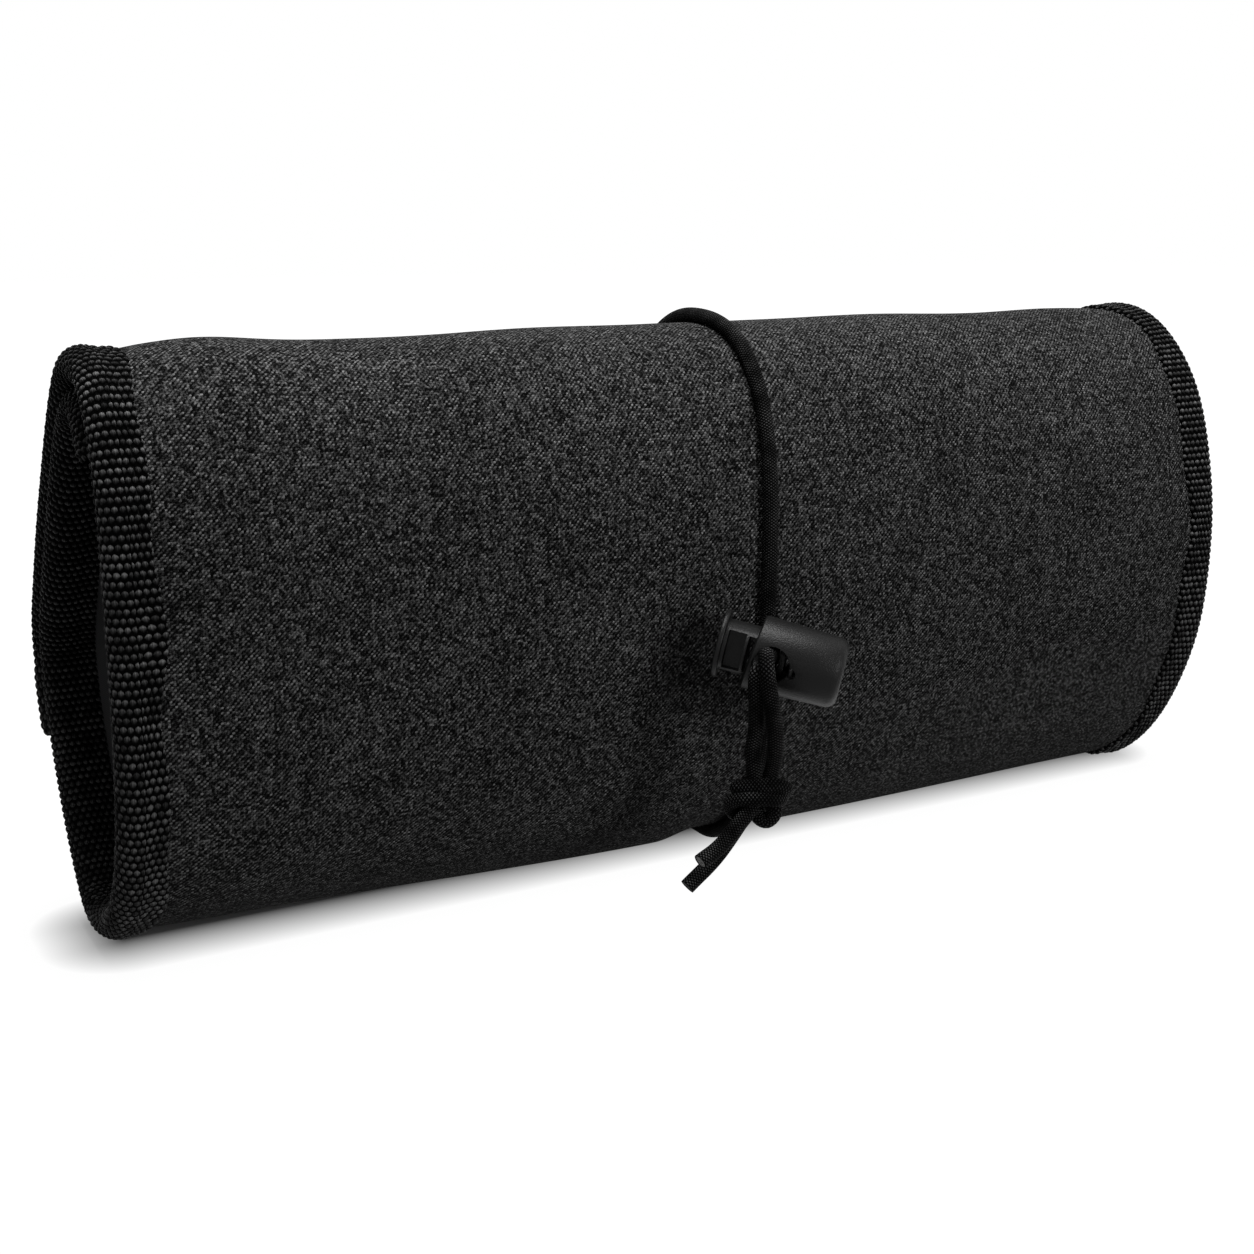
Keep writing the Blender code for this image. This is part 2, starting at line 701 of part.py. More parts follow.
def tail(material, collection, parent):
    """Two strands from the lock's hole to the knot, the knot, and the two cut ends."""
    centre = LOCK.translation
    for name, level, route in (
        ("tail_strand_right", 1, STRAND_RIGHT_ROUTE),
        ("tail_strand_left", -1, STRAND_LEFT_ROUTE),
    ):
        points = [
            in_lock(cord_lane(level), LAYER_GAP, -HOLE_CORD_SHIFT),
            in_lock(cord_lane(level), BARREL_RADIUS, -HOLE_CORD_SHIFT),
        ]
        points += [centre + Vector(offset) for offset in route]
        tube(name, smooth_route(points, ROUTE_STEP), CORD_RADIUS, CORD_SIDES, material, collection, parent)
    for name, route in (("tail_end_long", END_LONG_ROUTE), ("tail_end_short", END_SHORT_ROUTE)):
        points = [centre + Vector(offset) for offset in route]
        tube(name, smooth_route(points, ROUTE_STEP), CORD_RADIUS, CORD_SIDES, material, collection, parent)
    bm = bmesh.new()
    bmesh.ops.create_uvsphere(bm, u_segments=KNOT_SIDES, v_segments=KNOT_RINGS, radius=1.0)
    bmesh.ops.scale(bm, vec=KNOT_HALF_SIZES, verts=bm.verts)
    turn = Matrix.Rotation(np.radians(KNOT_TURN), 3, "Z")
    bmesh.ops.rotate(bm, cent=(0.0, 0.0, 0.0), matrix=turn, verts=bm.verts)
    bmesh.ops.translate(bm, vec=centre + Vector(KNOT_OFFSET), verts=bm.verts)
    mesh = bpy.data.meshes.new("tail_knot")
    bm.to_mesh(mesh)
    bm.free()
    mesh.shade_smooth()
    add_object("tail_knot", mesh, material, collection, parent)


def closure(skin_angles, materials, collection, cutters):
    """The cord loop, and on it the lock with its button and the tail."""
    loop_axis = add_empty("closure_slide", Matrix.Translation((CORD_X, 0.0, 0.0)), collection)
    cord_loop(skin_angles, materials["cord"], collection, loop_axis)
    lock_axis = add_empty("lock_slide", LOCK, collection, loop_axis)
    floor = barrel(materials["plastic"], collection, cutters, lock_axis)
    tail(materials["cord"], collection, lock_axis)
    button_axis = add_empty("button_press", LOCK, collection, lock_axis)
    wall = plunger(materials["plastic"], collection, cutters, button_axis)
    spring(wall, floor, materials["steel"], collection, lock_axis)


def fold_pivot(angle):
    """The line about which a flap panel opens, on the outside of the webbing."""
    point, normal = SPIRAL.frame_at(angle)
    return point + normal * (PROUD + FOLD_PIVOT_RISE)


def flap(materials, collection):
    """The flap's panels from the fixed roll outwards, each hinged to the one before. It returns their stations."""
    folds = FLAP_FOLD_ANGLES[::-1]
    ends = [SPIRAL.length_at(angle) for angle in folds] + [0.0]
    hinge = None
    stations = []
    for number, angle in enumerate(folds):
        pivot = Matrix.Translation(fold_pivot(angle))
        prefix = f"flap_{number + 1}_"
        hinge = add_empty(prefix + "hinge", pivot, collection, hinge)
        first = ends[number + 1]
        if first:
            first += FOLD_GAP / 2
        stations = bound_panel(prefix, first, ends[number] - FOLD_GAP / 2, materials, collection, hinge) + stations
    end_binding("flap_binding_end", 0.0, 1, stations, materials["webbing"], collection, hinge)
    return stations


def roll(materials, collection):
    """The fixed part of the roll. It returns its stations."""
    first = SPIRAL.length_at(FLAP_FOLD_ANGLES[-1]) + FOLD_GAP / 2
    stations = bound_panel("", first, SPIRAL.total(), materials, collection)
    end_binding("binding_inner_end", SPIRAL.total(), -1, stations, materials["webbing"], collection)
    pocket(stations, materials, collection)
    elastic_band(stations, materials, collection)
    return stations


def main():
    clear_scene()
    collection = new_collection("roll_up_organizer")
    cutters = new_collection("cutters")
    materials = {
        "fabric": make_material("charcoal_fabric", FABRIC_COLOUR, 0.92),
        "foam": make_material("foam", FOAM_COLOUR, 0.95),
        "lining": make_material("lining", LINING_COLOUR, 0.7),
        "pocket": make_material("pocket_fabric", POCKET_COLOUR, 0.65),
        "webbing": make_material("black_webbing", WEBBING_COLOUR, 0.85),
        "elastic": make_material("elastic", ELASTIC_COLOUR, 0.85),
        "cord": make_material("elastic_cord", CORD_COLOUR, 0.75),
        "plastic": make_material("black_plastic", PLASTIC_COLOUR, 0.42),
        "steel": make_material("spring_steel", STEEL_COLOUR, 0.3, 1.0),
    }
    fixed = roll(materials, collection)
    skin = flap(materials, collection)
    skin += [angle for angle in fixed[1:] if angle < FLAP_END_ANGLE + TURN - CORD_LAST_ANGLE]
    closure(skin, materials, collection, cutters)


main()
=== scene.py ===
"""Looks of the roll-up organizer: cloth, webbing, elastic cord and cord lock, in a pale studio.

Lengths are in metres. A length along the sheet starts at the flap's free edge and runs over the top of the
roll, down its front, under it and up its back into the inner turn. Depth runs inwards from the outer face.
"""

import json
from functools import partialmethod

import bmesh
import bpy
import numpy as np
from mathutils import Matrix, Vector


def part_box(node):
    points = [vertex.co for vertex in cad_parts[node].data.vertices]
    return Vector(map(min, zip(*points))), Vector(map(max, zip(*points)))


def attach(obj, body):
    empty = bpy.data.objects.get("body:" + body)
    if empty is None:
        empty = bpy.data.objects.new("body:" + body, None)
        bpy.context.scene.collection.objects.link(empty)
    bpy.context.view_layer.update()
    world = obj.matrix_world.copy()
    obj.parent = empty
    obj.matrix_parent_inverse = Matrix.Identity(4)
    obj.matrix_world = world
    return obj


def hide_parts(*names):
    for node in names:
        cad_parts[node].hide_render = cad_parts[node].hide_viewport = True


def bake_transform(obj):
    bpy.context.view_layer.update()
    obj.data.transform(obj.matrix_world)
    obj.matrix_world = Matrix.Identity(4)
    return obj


bl_info = {
    "name": "Roll-up organizer",
    "version": (1, 0, 0),
    "blender": (4, 5, 0),
    "location": "3D View > Sidebar > Organizer",
    "description": "Dresses a padded roll-up organizer with its cloth, webbing, elastic cord and cord lock",
    "category": "Object",
}

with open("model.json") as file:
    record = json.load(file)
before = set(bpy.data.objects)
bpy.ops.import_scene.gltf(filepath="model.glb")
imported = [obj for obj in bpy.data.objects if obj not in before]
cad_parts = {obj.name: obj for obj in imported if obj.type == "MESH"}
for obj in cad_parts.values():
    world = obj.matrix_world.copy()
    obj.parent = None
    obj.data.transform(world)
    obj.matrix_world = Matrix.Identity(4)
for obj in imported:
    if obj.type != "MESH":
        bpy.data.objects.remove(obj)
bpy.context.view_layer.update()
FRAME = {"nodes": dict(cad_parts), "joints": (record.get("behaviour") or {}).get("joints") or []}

# The sheet's spiral, as the frame holds it
TAPE_END_INSET = 0.0007
EDGE_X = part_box("binding_right")[1].x - TAPE_END_INSET
FRONT_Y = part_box("binding_right")[0].y
BACK_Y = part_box("flap_3_binding_right")[1].y
TOP_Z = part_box("flap_1_binding_right")[1].z
WRAP_PITCH = 0.0072
FLAP_END_ANGLE = -16.0
INNER_END_ANGLE = 495.0
FOOT_FLATTENING = 0.001
QUARTER = 90.0
TURN = 360.0
ANGLE_STEP = 0.25
LENGTH_STEP = 0.00025

# Cross-sections: powers of the corners from back top by the front to back bottom, the back's lean, rounding
MIDDLE_SECTION = ((2.1, 2.6, 2.15, 2.1), 0.0, 0.0025)
LEFT_SECTION = ((1.28, 3.52, 2.15, 1.27), 0.023, 0.006)
RIGHT_SECTION = ((2.1, 2.05, 1.88, 2.1), 0.0, 0.0025)
LEFT_FROM = 0.010
RIGHT_FROM = 0.030
LEFT_FLAP_ANGLE = -33.0
LEFT_BACK = 0.0045
LEFT_LIFT = 0.0016

# Layers of the sheet
SHELL_THICKNESS = 0.0008
FOAM_THICKNESS = 0.002
LINING_THICKNESS = 0.0005
LAYER_GAP = 0.0003
SHEET_INSET = 0.0024
BINDING_THICKNESS = 0.001
PROUD = LAYER_GAP + BINDING_THICKNESS
STACK = SHELL_THICKNESS + FOAM_THICKNESS + LINING_THICKNESS + 2 * LAYER_GAP

# Hollow that the cord draws into the sheet
DENT_SIDE = 0.0004
DENT_BOTTOM = 0.0022
DENT_FLAT = 0.0054
DENT_RAMP = 0.009
DENT_FADE_ANGLE = 20.0
DENT_BOTTOM_POWER = 4

# Stretches of the sheet between angles, each with the body that it rides on, or with the two bodies beside a
# fold and that fold
FOLDS = ((122.0, 9.0), (88.0, 8.0), (55.0, 8.0))
STRETCHES = (
    ("roll", 141.0, INNER_END_ANGLE, ("roll",), None),
    ("fold_1", 105.0, 141.0, ("roll", "flap_1"), FOLDS[0]),
    ("fold_2", 66.0, 105.0, ("flap_1", "flap_2"), FOLDS[1]),
    ("fold_3", 40.0, 66.0, ("flap_2", "flap_3"), FOLDS[2]),
    ("flap", FLAP_END_ANGLE, 40.0, ("flap_3",), None),
)
CARRIED = {"roll": "", "fold_1": "flap_1_", "fold_2": "flap_2_", "flap": "flap_3_"}

# Elastic cord and its lock
CORD_X = 0.0034
CORD_RADIUS = 0.00145
CORD_GAP = 0.0004
CORD_BEND_RADIUS = 0.0034
CORD_BEND_STEPS = 4
CORD_LEG_X = 0.001
CORD_UPPER_SHIFT_HEIGHT = 0.058
CORD_LOWER_SHIFT_HEIGHT = 0.022
CORD_BRIDGE_ANGLE = 42.0
CORD_OVER_BINDING = 0.018
CORD_STACK_GAP = 0.0003
CORD_LAST_ANGLE = 3.0
BINDING_LEG = 0.011
LOCK_X = -0.0061
LOCK_HEIGHT = 0.0488
LOCK_STANDOFF = 0.0148
HOLE_CORD_SHIFT = 0.0007
HOLE_FROM_MOUTH = 0.0042
BARREL_RADIUS = 0.007
BARREL_LENGTH = 0.017
BARREL_END_WALL = 0.0014
MOUTH_SLANT = 0.14
CLOSED_END = 0.006
CLOSED_END_TAPER = 0.12
MERGE_DISTANCE = 0.00002
FLAT_ANGLE = 1.0
CORNER_ANGLE = 32.0
SHARP_ANGLE = 38.0
LOCK_GAP = 0.0003
STEM_WALL = 0.0011
SPRING_WIRE = 0.00034
SPRING_RADIUS = 0.003
SPRING_TURNS = 6.0
STRAND_RIGHT_ROUTE = (
    (-0.0066, -0.0071, 0.0026), (-0.0079, -0.0092, 0.0009), (-0.0076, -0.0096, -0.0025),
    (-0.0062, -0.0091, -0.0080), (-0.0049, -0.0081, -0.0137), (-0.0043, -0.0062, -0.0192),
)
STRAND_LEFT_ROUTE = (
    (-0.0072, -0.0054, -0.0005), (-0.0079, -0.0059, -0.0030), (-0.0079, -0.0062, -0.0063),
    (-0.0077, -0.0059, -0.0109), (-0.0078, -0.0051, -0.0152), (-0.0073, -0.0050, -0.0192),
)
STRAND_END = Vector((0.0006, 0.0, -0.0005))
KNOT_OFFSET = (-0.0062, -0.0047, -0.0250)
# The knot's wraps, as places to the right, up and towards the viewer from its middle
KNOT_WRAPS = {
    "knot_upper_wrap": (
        (-0.0010, 0.0018, -0.0010), (-0.0036, 0.0021, -0.0004), (-0.0033, 0.0027, 0.0012),
        (-0.0006, 0.0033, 0.0023), (0.0024, 0.0034, 0.0021), (0.0046, 0.0025, 0.0008),
        (0.0048, 0.0014, -0.0009), (0.0030, 0.0009, -0.0022), (0.0, 0.0010, -0.0024),
        (-0.0020, 0.0014, -0.0014),
    ),
    "knot_front_wrap": (
        (0.0020, 0.0002, -0.0015), (0.0039, 0.0004, 0.0004), (0.0030, 0.0009, 0.0022),
        (0.0008, 0.0013, 0.0032), (-0.0018, 0.0013, 0.0031), (-0.0040, 0.0006, 0.0019),
        (-0.0049, -0.0007, 0.0006), (-0.0044, -0.0022, 0.0), (-0.0028, -0.0030, -0.0004),
        (-0.0010, -0.0024, -0.0008),
    ),
    "knot_lower_loop": (
        (0.0012, 0.0004, 0.0), (0.0026, -0.0008, 0.0009), (0.0028, -0.0023, 0.0011),
        (0.0016, -0.0036, 0.0010), (0.0002, -0.0031, 0.0006), (-0.0004, -0.0016, 0.0),
    ),
}
# The cut ends: a start in the knot, as its wraps, then places from the lock's middle
TAIL_ENDS = {
    "tail_end_long": ((-0.0010, -0.0008, 0.0), (-0.0139, -0.0036, -0.0344), (-0.0204, -0.0035, -0.0395)),
    "tail_end_short": ((-0.0010, -0.0002, 0.0026), (-0.0150, -0.0066, -0.0313), (-0.0198, -0.0069, -0.0337)),
}
TUBE_SIDES = 32
ROUTE_STEP = 0.0005
WRAP_STEP = 0.0004

# Webbing, seams and what lies on the lining
TAPE_NOSE = 0.0034
TAPE_NOSE_POINTS = 25
TAPE_CLOSE = 0.0022
TAPE_OVER_END = 0.003
TAPE_STEP_UP = 0.002
END_TAPE_INSETS = (0.006, 0.005)
INNER_TAPE_SAMPLES = 3
RIM_WAVES = (0.033, 0.121)
PUFF_FROM_TAPE = 0.014
PUFF_REACH = 0.013
PUFF_FROM_EDGE = 0.011
PUFF_FADE = 0.02
PINCH_REACH = 0.003
SEAM_INSET = 0.004
SEAM_STEP = 0.001
SEAM_FROM_RIM = 0.0021
SEAM_SUNK = 0.0007
STITCH_SHARE = 0.72
POCKET_ANGLES = (292.0, 398.0)
POCKET_LIFT = 0.0004
POCKET_EASE = 0.0008
POCKET_STEP = 0.002
HEM_WIDTH = 0.01
HEM_RISE = 0.0012
HEM_OVERHANG = 0.0004
HEM_WEAVE = 0.00009
BAND_ANGLES = (418.0, 440.0)
BAND_LOOPS = 8
BAND_LIFT = 0.0009
BAND_LOOP_RISE = 0.0045
BAND_WEAVE = 0.00016
BAND_STEPS = (0.0008, 0.0004)

# Camera of the photograph
CAMERA_PLACE = (-0.17863, -0.29887, 0.12801)
CAMERA_YAW = 29.265
CAMERA_PITCH = 13.576
CAMERA_LENS = 49.573
AMBIENT = 0.03
FLOOR_SIZE = 6.0
# The floor's own dark colour, which shows round the roll's footprint as a painted shadow
FLOOR_COLOUR = (0.18, 0.18, 0.18)
FLOOR_GLOW = 1.08
# Painted shadow on the floor: round this rectangle about the roll's footprint the floor's glow fades out
SHADOW_HALF_LENGTH = 0.116
SHADOW_Y = 0.0025
SHADOW_HALF_DEPTH = 0.004
SHADOW_FADE = 0.015
WHITE = (1.0, 1.0, 1.0, 1.0)
LAMPS = (
    ("key_light", (0.30, -0.92, 0.34), (0.0, -0.02, 0.05), 0.3, 4.2),
    ("top_light", (0.0, -0.03, 0.9), (0.0, 0.0, 0.05), 0.4, 11.0),
    ("left_light", (-0.75, -0.75, 0.5), (0.0, 0.0, 0.05), 0.3, 0.4),
)


def drop(angle):
    """How far the spiral has closed in by an angle."""
    return WRAP_PITCH * (angle - FLAP_END_ANGLE) / TURN


def outline(angles, powers, lean):
    """The sheet's outer face at angles, in the YZ plane.

    A lean draws the back in at the top and out at the bottom, and with it the back swells and the foot lifts.
    """
    height = TOP_Z - 2 * PROUD + FOOT_FLATTENING
    depth = BACK_Y - FRONT_Y - 2 * PROUD
    half_z = (height + drop(QUARTER) + drop(3 * QUARTER)) / 2
    half_y = (depth + drop(0.0) + drop(2 * QUARTER)) / 2
    shift_y = (BACK_Y - FRONT_Y) / 2 - PROUD - (half_y - drop(0.0))
    shift_z = PROUD - FOOT_FLATTENING + half_z - drop(3 * QUARTER)
    power = np.array(powers)[np.floor(angles / QUARTER).astype(int) % len(powers)]
    across = np.cos(np.radians(angles))
    up = np.sin(np.radians(angles))
    unit_y = np.sign(across) * np.abs(across) ** (2 / power)
    unit_z = np.sign(up) * np.abs(up) ** (2 / power)
    y = shift_y + (half_y - drop(angles)) * unit_y - lean * unit_z * (1 + unit_y) / 4
    z = shift_z + (half_z - drop(angles)) * unit_z
    if lean:
        y = y + LEFT_BACK * np.maximum(unit_y, 0.0)
        z = z + LEFT_LIFT * np.maximum(-unit_z, 0.0) ** 2
    return y, np.maximum(z, PROUD)


def measured(first_angle, powers, lean):
    """Angles along one section, its points and its lengths."""
    angles = np.arange(first_angle, INNER_END_ANGLE + ANGLE_STEP / 2, ANGLE_STEP)
    y, z = outline(angles, powers, lean)
    return angles, y, z, np.concatenate([[0.0], np.cumsum(np.hypot(np.diff(y), np.diff(z)))])


class Wrap:
    """The sheet's outer face, read by lengths along its middle. Its section changes towards both ends."""

    def __init__(self):
        powers, lean, _ = MIDDLE_SECTION
        angles, _, _, lengths = measured(FLAP_END_ANGLE, powers, lean)
        self.total = float(lengths[-1])
        self.lengths = np.arange(0.0, self.total, LENGTH_STEP)
        self.angles = np.interp(self.lengths, lengths, angles)
        marks = [QUARTER * number for number in range(1, 6)] + [INNER_END_ANGLE]
        middle = np.interp([FLAP_END_ANGLE] + marks, angles, lengths)
        self.sections = []
        for first, (powers, lean, rounding) in (
            (FLAP_END_ANGLE, MIDDLE_SECTION),
            (LEFT_FLAP_ANGLE, LEFT_SECTION),
            (FLAP_END_ANGLE, RIGHT_SECTION),
        ):
            angles, y, z, lengths = measured(first, powers, lean)
            own = np.interp(self.lengths, middle, np.interp([first] + marks, angles, lengths))
            y = smoothed(np.interp(own, lengths, y), rounding)
            z = smoothed(np.interp(own, lengths, z), rounding)
            slope_y = np.gradient(y)
            slope_z = np.gradient(z)
            speed = np.hypot(slope_y, slope_z)
            self.sections.append((y, z, slope_z / speed, -slope_y / speed))

    def length_at(self, angle):
        return float(np.interp(angle, self.angles, self.lengths))

    def front_at(self, height):
        """The Y of the outer face on the front, at a height, in the middle of the roll."""
        y, z = self.sections[0][:2]
        front = (self.angles > QUARTER) & (self.angles < 3 * QUARTER)
        return float(np.interp(height, z[front][::-1], y[front][::-1]))

    def lay(self, x, length, depth, soft=1.0):
        """Points of the soft sheet at places along X, lengths along the spiral and depths."""
        x, length, depth = np.broadcast_arrays(x, length, depth)
        left = eased((-LEFT_FROM - x) / (EDGE_X - LEFT_FROM))
        right = eased((x - RIGHT_FROM) / (EDGE_X - RIGHT_FROM))
        shares = (1 - left - right, left, right)
        y, z, normal_y, normal_z = (
            sum(part * np.interp(length, self.lengths, one[key]) for part, one in zip(shares, self.sections))
            for key in range(4)
        )
        angle = np.interp(length, self.lengths, self.angles)
        near = beside_cord(x)
        risen = swell(x, length, angle) * (1 - near) + CORD_GAP * near
        inward = (depth + dent(x, angle) - soft * risen) / np.hypot(normal_y, normal_z)
        return np.stack([x, y - normal_y * inward, z - normal_z * inward], axis=-1)


def smoothed(values, rounding):
    """A running mean over a length to both sides."""
    reach = round(rounding / LENGTH_STEP)
    before = values[0] - (values[1:reach + 1][::-1] - values[0])
    after = values[-1] + (values[-1] - values[-reach - 1:-1][::-1])
    padded = np.concatenate([before, values, after])
    return np.convolve(padded, np.full(2 * reach + 1, 1 / (2 * reach + 1)), "valid")


def eased(share):
    share = np.clip(share, 0.0, 1.0)
    return share * share * (3 - 2 * share)


def beside_cord(x):
    """1 under the cord, falling to 0 where the hollow that it draws ends."""
    return eased((DENT_FLAT + DENT_RAMP - np.abs(x - CORD_X)) / DENT_RAMP)


def dent(x, angle):
    """How deep the cord has drawn the sheet in, deepest under the roll."""
    fade = eased((FLAP_END_ANGLE + TURN - angle) / DENT_FADE_ANGLE)
    under = np.maximum(0.0, -np.sin(np.radians(angle))) ** DENT_BOTTOM_POWER
    deepest = DENT_SIDE + (DENT_BOTTOM - DENT_SIDE) * under
    return deepest * fade * beside_cord(x)


SWELLS = (
    (0.00030, 0.137, 0.31, 0.21, 0.088, -0.41),
    (0.00018, 0.052, -0.083, 0.40, 0.043, 0.23),
)


def swell(x, length, angle):
    """The sheet's slow unevenness, which dies away where the roll rests."""
    resting = np.maximum(0.0, -np.sin(np.radians(angle))) ** 2
    found = 0.0
    for height, wide, slant, phase, long, skew in SWELLS:
        first = np.sin(2 * np.pi * (x / wide + length / slant + phase))
        second = np.sin(2 * np.pi * (length / long + x / skew))
        found = found + height * first * second
    return found * (1 - resting)


WRAP = Wrap()


def lock_frame():
    """The lock's own axes: X up, Y out of the cord hole, Z along the barrel to its closed end."""
    joints = {joint["name"]: Vector(joint["axis"]) for joint in FRAME["joints"]}
    outward = joints["lock_slide"].normalized()
    axis = joints["button_press"].normalized()
    matrix = Matrix((outward.cross(axis), outward, axis)).transposed().to_4x4()
    face = WRAP.front_at(LOCK_HEIGHT) + DENT_SIDE
    matrix.translation = Vector((LOCK_X, face - LOCK_STANDOFF, LOCK_HEIGHT))
    return matrix


LOCK = lock_frame()


class Value:
    """A node's output that takes part in sums: each operator adds its Math node."""

    def __init__(self, nodes, socket):
        self.nodes = nodes
        self.socket = socket

    def other(self, output):
        """Another output of the same node."""
        return Value(self.nodes, self.socket.node.outputs[output])

    def math(self, operation, *others):
        inputs = dict(enumerate((self, *others)))
        return self.nodes.node("ShaderNodeMath", {"operation": operation}, inputs)

    def ridge(self):
        """0 at each whole number, and rounded up to 1 between them."""
        return abs((self * np.pi).math("SINE"))

    def __rsub__(self, other):
        return self * -1.0 + other

    __add__ = __radd__ = partialmethod(math, "ADD")
    __mul__ = __rmul__ = partialmethod(math, "MULTIPLY")
    __sub__ = partialmethod(math, "SUBTRACT")
    __truediv__ = partialmethod(math, "DIVIDE")
    __mod__ = partialmethod(math, "FLOORED_MODULO")
    __pow__ = partialmethod(math, "POWER")
    __abs__ = partialmethod(math, "ABSOLUTE")


class Nodes:
    """A node tree under construction."""

    def __init__(self, tree):
        self.tree = tree

    def node(self, kind, settings=(), inputs=(), output=0):
        made = self.tree.nodes.new(kind)
        for key, value in dict(settings).items():
            setattr(made, key, value)
        for key, value in dict(inputs).items():
            self.feed(made.inputs[key], value)
        return Value(self, made.outputs[output])

    def feed(self, socket, value):
        if isinstance(value, Value):
            self.tree.links.new(value.socket, socket)
        else:
            socket.default_value = value

    def seen(self):
        """1 for what the camera sees straight, mirrored or through glass, else 0."""
        straight = self.node("ShaderNodeLightPath")
        mirrored, through = straight.other("Is Glossy Ray"), straight.other("Is Transmission Ray")
        return (straight + mirrored + through).math("MINIMUM", 1.0)


class Shade(Nodes):
    """A material on a Principled BSDF, built from expressions."""

    def __init__(self, name, colour, roughness, **fixed):
        self.material = bpy.data.materials.new(name)
        self.material.use_nodes = True
        super().__init__(self.material.node_tree)
        self.surface = self.tree.nodes["Principled BSDF"]
        self.colour = tuple(colour)
        self.paint(Base_Color=(*colour, 1.0), Roughness=roughness, **fixed)

    def paint(self, **channels):
        for socket, value in channels.items():
            self.feed(self.surface.inputs[socket.replace("_", " ")], value)

    def unfold(self):
        """The surface's own two lengths, in metres, from its UV map."""
        surface = self.node("ShaderNodeUVMap", {"uv_map": "UVMap"})
        self.u = self.node("ShaderNodeSeparateXYZ", (), {0: surface})
        self.v = self.u.other(1)
        return self.u, self.v

    def place(self, x, y, z=0.0):
        return self.node("ShaderNodeCombineXYZ", (), {0: x, 1: y, 2: z})

    def noise(self, where, scale=1.0, detail=2.0):
        return self.node("ShaderNodeTexNoise", (), {"Vector": where, "Scale": scale, "Detail": detail})

    def speckle(self, per_u, per_v, layer=0.0, detail=2.0):
        """Noise over the surface, with so many specks a metre along each of its lengths."""
        return self.noise(self.place(self.u * per_u, self.v * per_v, layer), 1.0, detail)

    def solid(self):
        """The object's own coordinates."""
        return self.node("ShaderNodeTexCoord", (), (), 3)

    def ranged(self, value, low, high, start=0.0, end=1.0):
        inputs = {0: value, 1: low, 2: high, 3: start, 4: end}
        return self.node("ShaderNodeMapRange", {"clamp": True}, inputs)

    def toned(self, light, dark, pale):
        """The material's colour, from a dark share of it at 0 to a pale one at 1."""
        first, last = ([channel * share for channel in self.colour] for share in (dark, pale))
        inputs = {0: light, 6: (*first, 1.0), 7: (*last, 1.0)}
        return self.node("ShaderNodeMix", {"data_type": "RGBA"}, inputs, 2)

    def bump(self, height, distance, strength=1.0):
        inputs = {"Strength": strength, "Distance": distance, "Height": height}
        self.paint(Normal=self.node("ShaderNodeBump", (), inputs))


def cloth_material(name, settings):
    """Heather cloth: dark and pale yarns in a plain weave, each crossing of its own tone, with streaks."""
    shade = Shade(name, settings.cloth_colour, settings.cloth_roughness, Specular_IOR_Level=0.02)
    u, v = shade.unfold()
    wander = shade.speckle(260.0, 260.0, 11.0, 1.0) * 0.9
    across = u / settings.thread_pitch + wander
    along = v / settings.thread_pitch + wander
    warp, weft = across.math("FLOOR"), along.math("FLOOR")
    over = (warp + weft) % 2.0
    height = over * across.ridge() + (1.0 - over) * along.ridge()
    inputs = {"Vector": shade.place(warp, weft)}
    cell = shade.node("ShaderNodeTexWhiteNoise", {"noise_dimensions": "2D"}, inputs)
    warp_tone = shade.noise(shade.place(warp * 7.31, along * 0.45), detail=0.0)
    weft_tone = shade.noise(shade.place(across * 0.45, weft * 5.77, 9.0), detail=0.0)
    tone = over * warp_tone + (1.0 - over) * weft_tone
    fleck = shade.speckle(2500.0, 2500.0, 3.0, 1.0)
    streak = shade.speckle(700.0, 20.0, 1.0) + shade.speckle(20.0, 700.0, 5.0)
    mottle = shade.speckle(60.0, 60.0, 7.0, 3.0)
    rib = ((across + along) * 0.5).ridge()
    # the weave's height lightens the threads' crowns: a faint painted shade in the hollows of the weave; the
    # other terms are the yarns' own tones and patterns
    mixed = cell * 0.42 + tone * 0.4 + fleck * 0.5 + rib * 0.3 + streak * 0.12 + mottle * 0.1 + height * 0.15
    light = shade.ranged(mixed, 0.851, 1.551) ** settings.yarn_contrast
    shade.paint(Base_Color=shade.toned(light, settings.yarn_dark, settings.yarn_light))
    shade.bump(height + fleck * 0.6, settings.thread_pitch * 0.3, 0.8)
    return shade.material


def rounded(wide, long):
    """A dome of height 1, whose foot is where the squares of both parts add up to 1."""
    return (1.0 - wide * wide - long * long).math("MAXIMUM", 0.0) ** 0.5


